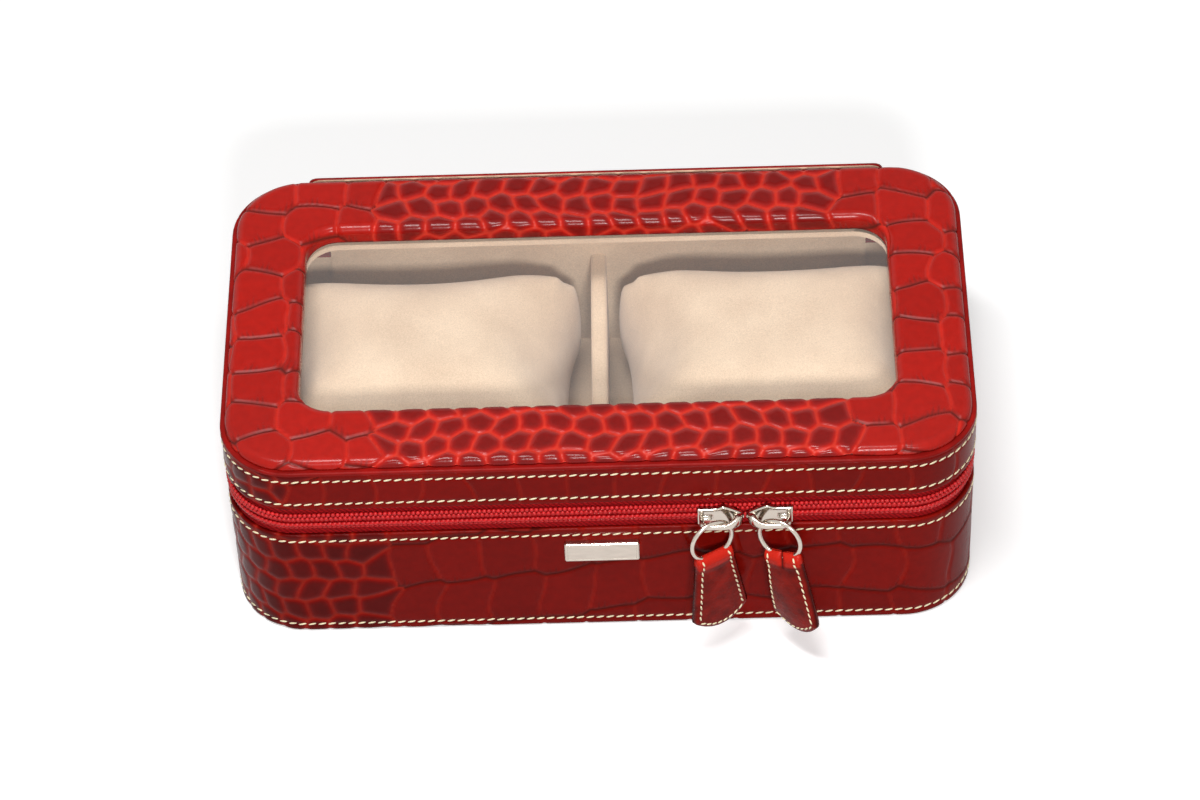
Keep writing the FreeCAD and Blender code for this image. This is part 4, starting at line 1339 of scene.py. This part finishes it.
def crown_path(frame_of):
    """Middle line of a slider's crown from the tail over the bar to the nose: back, out, and its share."""
    look = settings().metal
    bar = frame_of.reach - look.bar_thickness / 2
    foot = look.stand_off + look.front_plate * 0.6
    tail = frame_of.length - look.crown_setback
    nose = look.crown_setback * 1.3
    line = [(tail, foot), (tail, bar - look.tail_bend)]
    for angle in np.linspace(0, QUARTER, 8):
        line.append((tail - look.tail_bend * (1 - math.cos(angle)),
                     bar - look.tail_bend * (1 - math.sin(angle))))
    for angle in np.linspace(0, QUARTER, 16):
        line.append((nose + look.nose_bend * (1 - math.sin(angle)),
                     bar - (bar - foot) * (1 - math.cos(angle))))
    line = np.array(line)
    steps = np.linalg.norm(np.diff(line, axis=0), axis=1)
    path = np.concatenate([[0.0], np.cumsum(steps)])
    shares = np.linspace(0, 1, 48)
    return np.stack([np.interp(shares * path[-1], path, line[:, axis]) for axis in (0, 1)], 1), shares


def slider_crown(frame_of):
    """Crown of a slider: a strap that is slim at the tail and broad at the nose, where it bows out."""
    look = settings().metal
    extra_thick, extra_high = 0.8, (look.nose_height - look.bar_height) / 2
    broad_start, broad_length = 0.62, 0.30
    narrow_start, narrow_length = 0.88, 0.12
    squareness = 0.6
    line, shares = crown_path(frame_of)
    ahead = np.gradient(line, axis=0)
    ahead /= np.linalg.norm(ahead, axis=1, keepdims=True)
    rows = []
    for (back, out), (step_back, step_out), share in zip(line, ahead, shares):
        broad = np.clip((share - broad_start) / broad_length, 0, 1)
        broad = broad * broad * (3 - 2 * broad)
        narrow = np.clip((share - narrow_start) / narrow_length, 0, 1) ** 2
        half_thick = look.bar_thickness / 2 * (1 + extra_thick * broad ** 2)
        half_high = look.bar_height / 2 + extra_high * broad * (1 - 0.75 * narrow)
        row = []
        for angle in arc_samples(0, 2 * math.pi, 20):
            side = math.copysign(abs(math.cos(angle)) ** squareness, math.cos(angle)) * half_thick
            up = math.copysign(abs(math.sin(angle)) ** squareness, math.sin(angle)) * half_high
            row.append(frame_of.point(back - step_out * side, out + step_back * side, up))
        rows.append(row)
    return loft("slider_crown", np.array(rows), capped=True)


def join(name, meshes):
    """Joins meshes into one."""
    bm = bmesh.new()
    for mesh in meshes:
        bm.from_mesh(mesh)
        bpy.data.meshes.remove(mesh)
    return mesh_from(bm, name)


def build_sliders():
    """Polished sliders: front and back plate, the post between them, and the crown."""
    look = settings().metal
    for side in ("left", "right"):
        frame_of = SliderFrame(side)
        back_face = -frame_of.depth
        post = bmesh.new()
        add_box(post, Vector(frame_of.point(look.post_start, back_face + look.back_plate, -look.post_half)),
                Vector(frame_of.point(look.post_start + look.post_length, look.stand_off, look.post_half)))
        round_edges(post, list(post.edges), look.post_rounding, 2)
        plate = slider_plate(frame_of, back_face=look.stand_off, front_face=look.stand_off + look.front_plate,
                             inset=0.0, slot_depth=look.slot_depth)
        back = slider_plate(frame_of, back_face=back_face + look.back_plate, front_face=back_face,
                            inset=look.back_inset, slot_depth=0.0)
        name = f"slider_body_{side}"
        mesh = join(name, [plate, back, slider_crown(frame_of), mesh_from(post, "slider_post")])
        add_piece(name, mesh, nickel(), f"{side}_slider", [f"slider_{side}"])


def build_nameplate():
    """Bare polished plate with a bevelled edge and a fine sunk border."""
    depth = PLATE_HIGH.y - PLATE_LOW.y
    rounding, border, slope, sunk = 0.55 * MM, 0.35 * MM, 0.12 * MM, 0.10 * MM
    bm = bmesh.new()
    add_box(bm, PLATE_LOW, PLATE_HIGH)
    front = [edge for edge in bm.edges
             if all(abs(vertex.co.y - PLATE_LOW.y) < MERGE_DISTANCE for vertex in edge.verts)]
    upright = [edge for edge in bm.edges if abs(edge.verts[0].co.y - edge.verts[1].co.y) > depth / 2]
    round_edges(bm, upright + front, rounding, 3)
    bm.faces.ensure_lookup_table()
    face = max((face for face in bm.faces if face.normal.y < -0.99), key=lambda face: face.calc_area())
    bmesh.ops.inset_region(bm, faces=[face], thickness=border, depth=0.0)
    bmesh.ops.inset_region(bm, faces=[face], thickness=slope, depth=-sunk)
    mesh = mesh_from(bm, "nameplate_bare")
    mesh.shade_flat()
    add_piece("nameplate_bare", mesh, nickel(), "base", ["nameplate"])


# Pulls

def pull_half_width(share):
    """Half width of a pull, from its bottom corners (0) to the fold (1)."""
    look = settings().pull
    return (look.width + (look.neck_width - look.width) * share) / 2


def pull_point(share, sideways, lift, frame_of, hang, twist):
    """A point of a pull: share of its height, share of its half width, and distance off its middle plane."""
    look, metal = settings().pull, settings().metal
    across, up = frame_of.swung(hang)
    bottom = -look.corner_depth - look.bottom_sag * (1 - sideways ** 2)
    top = -metal.ring_radius + look.loop_thickness / 2
    height = bottom + (top - bottom) * share
    reach = sideways * pull_half_width(min(share, 1.0))
    angle = twist * (1 - share) ** 1.4
    bulge = look.bulge if twist else look.bulge / 2
    lift = lift + bulge * math.sin(math.pi * (1 - share)) * (1 - sideways ** 2)
    side = reach * math.cos(angle) - lift * math.sin(angle)
    out = reach * math.sin(angle) + lift * math.cos(angle)
    return frame_of.centre + across * side + frame_of.out * out + up * height


def pull_section(share, split):
    """Section of a pull at a share of its height as (share of half width, distance off the middle plane).

    A split pull has two loops at the ring, with a gap between them.
    """
    look = settings().pull
    steps, edge_rounding, least_half = 22, 0.6 * MM, 0.25 * MM
    to_fold = np.clip((share - FOLD_START) / FOLD_LENGTH, 0, 1)
    half = (look.thickness + (look.loop_thickness - look.thickness) * to_fold) / 2
    if share > ROUND_START:
        half = look.loop_thickness / 2 * math.sqrt(max(0.0, 1 - ((share - ROUND_START) / ROUND_LENGTH) ** 2))
        half = max(half, least_half)
    points = []
    for face in (1, -1):
        for number in range(steps):
            sideways = face * (1 - 2 * number / steps)
            edge = min(1.0, (1 - abs(sideways)) * pull_half_width(share) / edge_rounding)
            gap = 0.75 * split * to_fold * math.exp(-(sideways / 0.11) ** 2)
            points.append((sideways, face * half * (0.45 + 0.55 * math.sqrt(edge)) * (1 - gap)))
    return points


def build_pulls():
    """Folded leather pulls, sewn along their edges and over the fold."""
    look = settings().pull
    shares = np.concatenate([np.linspace(0, PINCH_LENGTH, 4), np.linspace(0.08, 0.78, 20),
                             np.linspace(FOLD_START, 0.90, 8), np.linspace(ROUND_START, 1.0, 7)])
    for side, hang, twist, split in (("left", look.left_hang, 0.0, 0.0),
                                     ("right", look.right_hang, look.right_twist, 1.0)):
        frame_of = RingFrame(side)
        rows, rims, fold_highlights = [], [], []
        for share in shares:
            section = pull_section(share, split)
            pinch = min(1.0, 0.55 + 0.45 * math.sqrt(share / PINCH_LENGTH))
            rows.append([tuple(pull_point(share, sideways, lift * pinch, frame_of, hang, twist))
                         for sideways, lift in section])
            rims.append([on_rim(share, sideways, split) for sideways, _ in section])
            # Painted highlight on the fold, as a share from 0 to 1
            fold_highlights.append([np.clip((share - FOLD_HIGHLIGHT_START) / FOLD_HIGHLIGHT_LENGTH, 0, 1)] * len(section))
        name = f"pull_leather_{side}"
        mesh = loft(name, np.array(rows), {"rim": np.array(rims), "fold_highlight": np.array(fold_highlights)}, capped=True)
        add_piece(name, mesh, pull_leather(), f"{side}_pull", [f"pull_tab_{side}"])
        name = f"pull_stitches_{side}"
        add_piece(name, pull_seams(name, frame_of, hang, twist), sewing_thread(), f"{side}_pull")


def on_rim(share, sideways, split):
    """Whether a place of a pull has the dark paint of its cut edges, or lies between its loops, as 1 or 0."""
    outer = abs(sideways) > 0.95 and share < 0.9
    between = split * share > 0.82 and abs(sideways) < 0.07
    return float(outer or between)


def pull_seams(name, frame_of, hang, twist):
    """Stitches of a pull: along both edges, over the fold, and along the bottom."""
    look = settings().pull
    seam_start, seam_length = 0.08, 0.76
    fold_step, fold_lift = 0.062, 0.28 * MM
    bottom_half = 0.80
    beads = Beads()
    count = round((look.corner_depth - settings().metal.ring_radius) / look.stitch_pitch)
    for edge_side in (-1, 1):
        for number in range(count):
            share = seam_start + seam_length * (number + 0.5) / count
            sew_pull(beads, share, edge_side, seam_length / count, 0.0, frame_of, hang, twist)
        for share in look.fold_stitches:
            sew_pull(beads, share, edge_side, fold_step, fold_lift, frame_of, hang, twist)
    count = round(look.width / look.stitch_pitch)
    for number in range(count):
        sideways = -bottom_half + 2 * bottom_half * (number + 0.5) / count
        sew_bottom(beads, sideways, 2 * bottom_half / count, frame_of, hang, twist)
    return beads.mesh(name)


def pull_surface(share):
    """Distance of a pull's front face off its middle plane."""
    look = settings().pull
    to_fold = np.clip((share - FOLD_START) / FOLD_LENGTH, 0, 1)
    over = math.sqrt(max(0.0, 1 - (max(0.0, share - ROUND_START) / ROUND_LENGTH) ** 2))
    return (look.thickness + (look.loop_thickness - look.thickness) * to_fold) / 2 * 0.98 * over


def sew_between(beads, first, last, out):
    """Sews one short stitch between two points of a pull."""
    reach = last - first
    along = reach.normalized()
    out = (out - along * out.dot(along)).normalized()
    add_stitch(beads, (first + last) / 2, along, out, reach.length * 0.86)


def sew_pull(beads, share, edge_side, step, lift, frame_of, hang, twist):
    """Sews a stitch along one edge of a pull, lifted where it crosses the fold."""
    look = settings().pull
    ends = []
    for at in (share - step / 2, share + step / 2):
        sideways = edge_side * (1 - look.stitch_inset / pull_half_width(at))
        ends.append(pull_point(at, sideways, pull_surface(at) + lift, frame_of, hang, twist))
    sew_between(beads, ends[0], ends[1], frame_of.out)


def sew_bottom(beads, sideways, step, frame_of, hang, twist):
    """Sews a stitch along the bottom of a pull."""
    share = 0.055
    ends = [pull_point(share, at, pull_surface(share), frame_of, hang, twist)
            for at in (sideways - step / 2, sideways + step / 2)]
    sew_between(beads, ends[0], ends[1], frame_of.out)


# Inside

def build_lining():
    """Suede of the walls, floor, panel, divider and window frame, and the board behind them."""
    paint(suede(), "base_floor_lining", "base_wall_lining", "rear_lining_panel", "divider", "lid_wall_lining",
          "lid_lining_frame")
    paint(grey_board(), "bottom_board", "base_wall_board", "lid_wall_board", "lid_top_board", "lid_top_pad")


def build_edges():
    """Welt, folded edges and underside."""
    paint(plain_leather(), "lid_rim_welt", "base_top_binding", "lid_lower_binding")
    paint(leather_edge(), "bottom_leather")


def build_window():
    """Clear pane."""
    paint(clear_window(), "window_pane")


def shaped(piece):
    """The mesh of a piece with its modifiers, as a new mesh."""
    graph = bpy.context.evaluated_depsgraph_get()
    return bpy.data.meshes.new_from_object(piece.evaluated_get(graph), depsgraph=graph)


def points_of(mesh):
    """A mesh's points as rows."""
    flat = np.empty(len(mesh.vertices) * 3, np.float32)
    mesh.vertices.foreach_get("co", flat)
    return flat.reshape(-1, 3).astype(float)


def cushion_start(node, low, high):
    """Copy of a CAD cushion, a little smaller, because the stuffing swells it."""
    mesh = NODES[node].data.copy()
    foot = np.array([(low.x + high.x) / 2, (low.y + high.y) / 2, low.z])
    points = foot + (points_of(mesh) - foot) * np.array(settings().inside.start_share)
    mesh.vertices.foreach_set("co", points.astype(np.float32).ravel())
    return mesh


def stuff(mesh):
    """Remeshes a cushion and blows it up as cloth, no further than the stuffing may push it."""
    look = settings().inside
    scene = bpy.context.scene
    piece = bpy.data.objects.new("cushion_cloth", mesh)
    scene.collection.objects.link(piece)
    remesh = piece.modifiers.new("Remesh", "REMESH")
    remesh.mode = "VOXEL"
    remesh.voxel_size = look.voxel
    bpy.context.view_layer.update()
    piece.data = shaped(piece)
    piece.modifiers.clear()
    before = points_of(piece.data)
    cloth = piece.modifiers.new("Cloth", "CLOTH")
    cloth.settings.use_pressure = True
    cloth.settings.uniform_pressure_force = look.pressure
    cloth.settings.effector_weights.gravity = 0
    cloth.point_cache.frame_end = look.steps
    for step in range(1, look.steps + 1):
        scene.frame_set(step)
    result = shaped(piece)
    scene.frame_set(1)
    moves = points_of(result) - before
    reach = np.linalg.norm(moves, axis=1, keepdims=True)
    moves *= np.minimum(1.0, look.swell / np.maximum(reach, TINY))
    result.vertices.foreach_set("co", (before + moves).astype(np.float32).ravel())
    bpy.data.objects.remove(piece)
    soften(result, look.cloth_passes)
    return result


def soften(mesh, passes):
    """Evens out a cushion's surface."""
    bm = bmesh.new()
    bm.from_mesh(mesh)
    for _ in range(passes):
        bmesh.ops.smooth_vert(bm, verts=bm.verts, factor=0.5, use_axis_x=True, use_axis_y=True,
                              use_axis_z=True)
    bm.to_mesh(mesh)
    bm.free()


def plump(points, low, high, number):
    """Shapes a stuffed cushion: sides that pull in between its corners, a crown, an ear and soft waves."""
    look = settings().inside
    middle, half = (low + high) / 2, (high - low) / 2
    across = (points[:, 0] - middle.x) / half.x
    along = (points[:, 1] - middle.y) / half.y
    share = np.clip((points[:, 2] - low.z) / (high.z - low.z), 0, 1)
    furthest = np.maximum(np.maximum(np.abs(across), np.abs(along)), 0.01)
    square = ((np.abs(across) ** 6 + np.abs(along) ** 6) ** (1 / 6) / furthest - 1) * 0.6 + 1
    pull = look.side_pull * (0.3 + 0.7 * share) * np.clip(1 - along ** 2, 0, 1)
    crown = share ** 3 * np.clip(1 - across ** 2, 0, 1) * np.clip(1 - along ** 10, 0, 1)
    inner = across * (1 if number == 0 else -1)
    ear = share ** 3 * np.exp(-((inner - 1) / 0.5) ** 2 - ((along - 0.9) / 0.5) ** 2)
    u, v = points[:, 0] / MM + 40 * number, points[:, 1] / MM
    waves = 0.55 * np.sin(u / 8.3 + v / 13.0) + 0.45 * np.sin(u / 12.7 - v / 9.0 + 1.0)
    points[:, 0] = middle.x + half.x * across * square * (1 - pull)
    points[:, 1] = middle.y + half.y * along * square
    points[:, 2] += look.crown[number] * crown + look.ear[number] * ear + look.wave * share ** 2 * waves
    return np.clip(points, np.array(low) + look.margin, np.array(high) + np.array(look.reserve))


def build_cushions():
    """Stuffed suede cushions."""
    for number, side in enumerate(("left", "right")):
        node = f"cushion_{side}"
        low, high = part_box(node)
        mesh = stuff(cushion_start(node, low, high))
        points = plump(points_of(mesh), low, high, number)
        mesh.vertices.foreach_set("co", points.astype(np.float32).ravel())
        soften(mesh, settings().inside.shape_passes)
        mesh.shade_smooth()
        name = f"cushion_suede_{side}"
        mesh.name = name
        piece = add_piece(name, mesh, suede(), "base", [node])
        smooth = piece.modifiers.new("Subdivision", "SUBSURF")
        smooth.levels = 1
        smooth.render_levels = 1


# Stage

def add_camera(look):
    """Camera at the photograph's viewing angle."""
    back = Vector((math.cos(look.elevation) * math.sin(look.azimuth),
                   -math.cos(look.elevation) * math.cos(look.azimuth), math.sin(look.elevation)))
    level = Vector((math.cos(look.azimuth), math.sin(look.azimuth), 0))
    upright = back.cross(level)
    across = level * math.cos(look.roll) + upright * math.sin(look.roll)
    up = upright * math.cos(look.roll) - level * math.sin(look.roll)
    data = bpy.data.cameras.new("camera")
    data.lens = look.lens
    data.sensor_width = 36.0
    camera = bpy.data.objects.new("camera", data)
    turn = Matrix((across, up, back)).transposed().to_4x4()
    camera.matrix_world = Matrix.Translation(Vector(look.target) + back * look.distance) @ turn
    bpy.context.scene.collection.objects.link(camera)
    bpy.context.scene.camera = camera


def add_lamp(name, place, aim, size, energy):
    """Soft square lamp that points at a place."""
    data = bpy.data.lights.new(name, "AREA")
    data.shape = "RECTANGLE"
    data.size, data.size_y = size
    data.energy = energy
    lamp = bpy.data.objects.new(name, data)
    direction = Vector(aim) - Vector(place)
    lamp.matrix_world = Matrix.Translation(place) @ direction.to_track_quat("-Z", "Y").to_matrix().to_4x4()
    bpy.context.scene.collection.objects.link(lamp)


def light_world():
    """Dim surroundings for the light, white ones for what the camera, metal and window see."""
    world = bpy.data.worlds.new("studio")
    bpy.context.scene.world = world
    world.use_nodes = True
    tree = world.node_tree
    background = tree.nodes["Background"]
    path = tree.nodes.new("ShaderNodeLightPath")
    seen = path.outputs["Is Camera Ray"]
    for name in ("Is Glossy Ray", "Is Transmission Ray"):
        either = tree.nodes.new("ShaderNodeMath")
        either.operation = "MAXIMUM"
        tree.links.new(seen, either.inputs[0])
        tree.links.new(path.outputs[name], either.inputs[1])
        seen = either.outputs["Value"]
    strength = tree.nodes.new("ShaderNodeMapRange")
    strength.inputs["To Min"].default_value = settings().stage.sky
    strength.inputs["To Max"].default_value = 1.0
    tree.links.new(seen, strength.inputs["Value"])
    tree.links.new(strength.outputs["Result"], background.inputs["Strength"])
    background.inputs["Color"].default_value = (1.0, 0.985, 0.96, 1.0)


def add_sheet(name, half_size, place, material):
    """Flat square sheet of the stage."""
    bm = bmesh.new()
    bmesh.ops.create_grid(bm, x_segments=1, y_segments=1, size=half_size, matrix=place)
    mesh = bpy.data.meshes.new(name)
    bm.to_mesh(mesh)
    bm.free()
    mesh.materials.append(material)
    sheet = bpy.data.objects.new(name, mesh)
    bpy.context.scene.collection.objects.link(sheet)
    return sheet


def add_dark_card():
    """Dark card behind and above the case that only reflections see, so that the leather stays deep."""
    shader = Shader("dark_card")
    clouds = shader.noise(scale=3.0)
    shader.colour(shader.ramp(clouds, ((0.3, (0.02, 0.02, 0.02)), (0.7, (0.03, 0.03, 0.03)))))
    shader.set(roughness=0.9)
    place = Matrix.Translation((0.0, 0.90, 1.0)) @ Matrix.Rotation(math.radians(42), 4, "X")
    card = add_sheet("dark_card", 0.75, place, shader.material)
    card.visible_camera = False
    card.visible_diffuse = False
    card.visible_shadow = False


def add_floor(look):
    """Pale floor that throws little light back at the case."""
    shader = Shader("pale_floor")
    path = shader.add("ShaderNodeLightPath")
    seen = shader.add("ShaderNodeMath", operation="MAXIMUM")
    shader.link(path.outputs["Is Camera Ray"], seen, 0)
    shader.link(path.outputs["Is Glossy Ray"], seen, 1)
    shader.colour(shader.mix(seen.outputs["Value"], shade(look.floor_colour, 0.35), look.floor_colour))
    glow = shader.remap(path.outputs["Is Camera Ray"], 0.0, 1.0, 0.0, 0.25)
    shader.link(glow, shader.principled, "Emission Strength")
    shader.set(roughness=0.9, specular_ior_level=0.1, emission_color=(*WHITE, 1.0))
    add_sheet("floor", 2.5, Matrix.Translation((0, 0, -look.floor_drop)), shader.material)


def build_stage():
    """Pale floor, soft lamps and the camera."""
    look = settings().stage
    add_floor(look)
    light_world()
    add_dark_card()
    for name, place, size, watts in LAMPS:
        add_lamp(name, place, LAMP_AIM, size, watts)
    add_camera(look)
    bpy.context.scene.view_settings.view_transform = "Standard"


# Operators

class WATCH_CASE_OT_lid_top(bpy.types.Operator):
    """Builds the lid's padded top of embossed leather."""

    bl_idname = "watch_case.lid_top"
    bl_label = "Padded lid"

    def execute(self, context):
        build_lid_top()
        return {"FINISHED"}


class WATCH_CASE_OT_side_bands(bpy.types.Operator):
    """Builds the embossed bands of the base and the lid."""

    bl_idname = "watch_case.side_bands"
    bl_label = "Side leather"

    def execute(self, context):
        build_side_bands()
        return {"FINISHED"}


class WATCH_CASE_OT_edges(bpy.types.Operator):
    """Gives the welt, the folded edges and the underside their leather."""

    bl_idname = "watch_case.edges"
    bl_label = "Edges and underside"

    def execute(self, context):
        build_edges()
        return {"FINISHED"}


class WATCH_CASE_OT_stitching(bpy.types.Operator):
    """Builds the rows of stitches on the base and the lid."""

    bl_idname = "watch_case.stitching"
    bl_label = "Stitching"

    def execute(self, context):
        build_stitching()
        return {"FINISHED"}


class WATCH_CASE_OT_hinge(bpy.types.Operator):
    """Builds the sewn leather hinge at the rear."""

    bl_idname = "watch_case.hinge"
    bl_label = "Hinge"

    def execute(self, context):
        build_hinge()
        return {"FINISHED"}


class WATCH_CASE_OT_zip(bpy.types.Operator):
    """Builds the coils and the end stops of the zip, and weaves its tapes."""

    bl_idname = "watch_case.zip"
    bl_label = "Zip"

    def execute(self, context):
        build_zip()
        return {"FINISHED"}


class WATCH_CASE_OT_sliders(bpy.types.Operator):
    """Builds the two zip sliders with their crowns."""

    bl_idname = "watch_case.sliders"
    bl_label = "Sliders"

    def execute(self, context):
        build_sliders()
        return {"FINISHED"}


class WATCH_CASE_OT_rings(bpy.types.Operator):
    """Builds the two wire rings."""

    bl_idname = "watch_case.rings"
    bl_label = "Rings"

    def execute(self, context):
        build_rings()
        return {"FINISHED"}


class WATCH_CASE_OT_pulls(bpy.types.Operator):
    """Builds the two folded leather pulls."""

    bl_idname = "watch_case.pulls"
    bl_label = "Pulls"

    def execute(self, context):
        build_pulls()
        return {"FINISHED"}


class WATCH_CASE_OT_nameplate(bpy.types.Operator):
    """Builds the bare plate on the front."""

    bl_idname = "watch_case.nameplate"
    bl_label = "Plate"

    def execute(self, context):
        build_nameplate()
        return {"FINISHED"}


class WATCH_CASE_OT_lining(bpy.types.Operator):
    """Gives the lining its suede, and the boards behind it their colour."""

    bl_idname = "watch_case.lining"
    bl_label = "Lining"

    def execute(self, context):
        build_lining()
        return {"FINISHED"}


class WATCH_CASE_OT_cushions(bpy.types.Operator):
    """Builds the two stuffed cushions."""

    bl_idname = "watch_case.cushions"
    bl_label = "Cushions"

    def execute(self, context):
        build_cushions()
        return {"FINISHED"}


class WATCH_CASE_OT_window(bpy.types.Operator):
    """Gives the window its clear pane."""

    bl_idname = "watch_case.window"
    bl_label = "Window"

    def execute(self, context):
        build_window()
        return {"FINISHED"}


class WATCH_CASE_OT_stage(bpy.types.Operator):
    """Builds the floor, the lamps and the camera."""

    bl_idname = "watch_case.stage"
    bl_label = "Stage"

    def execute(self, context):
        build_stage()
        return {"FINISHED"}


OPERATORS = (
    WATCH_CASE_OT_lid_top,
    WATCH_CASE_OT_side_bands,
    WATCH_CASE_OT_edges,
    WATCH_CASE_OT_stitching,
    WATCH_CASE_OT_hinge,
    WATCH_CASE_OT_zip,
    WATCH_CASE_OT_sliders,
    WATCH_CASE_OT_rings,
    WATCH_CASE_OT_pulls,
    WATCH_CASE_OT_nameplate,
    WATCH_CASE_OT_lining,
    WATCH_CASE_OT_cushions,
    WATCH_CASE_OT_window,
    WATCH_CASE_OT_stage,
)


class WATCH_CASE_PT_pieces(bpy.types.Panel):
    """Lists the pieces of the watch case."""

    bl_label = "Watch case"
    bl_space_type = "VIEW_3D"
    bl_region_type = "UI"
    bl_category = "Watch case"

    def draw(self, context):
        for item in OPERATORS:
            self.layout.operator(item.bl_idname)


CLASSES = (FormSettings, LeatherSettings, ThreadSettings, ZipSettings, MetalSettings, PullSettings,
           InsideSettings, StageSettings, WatchCaseSettings, *OPERATORS, WATCH_CASE_PT_pieces)


def register():
    """Registers the classes and the scene's settings."""
    for item in CLASSES:
        bpy.utils.register_class(item)
    bpy.types.Scene.watch_case = PointerProperty(type=WatchCaseSettings)


def unregister():
    """Takes the settings and the classes out again."""
    del bpy.types.Scene.watch_case
    for item in reversed(CLASSES):
        bpy.utils.unregister_class(item)


def main():
    """Builds every piece."""
    register()
    for item in OPERATORS:
        getattr(bpy.ops.watch_case, item.bl_idname.split(".")[1])()


if __name__ == "__main__":
    main()
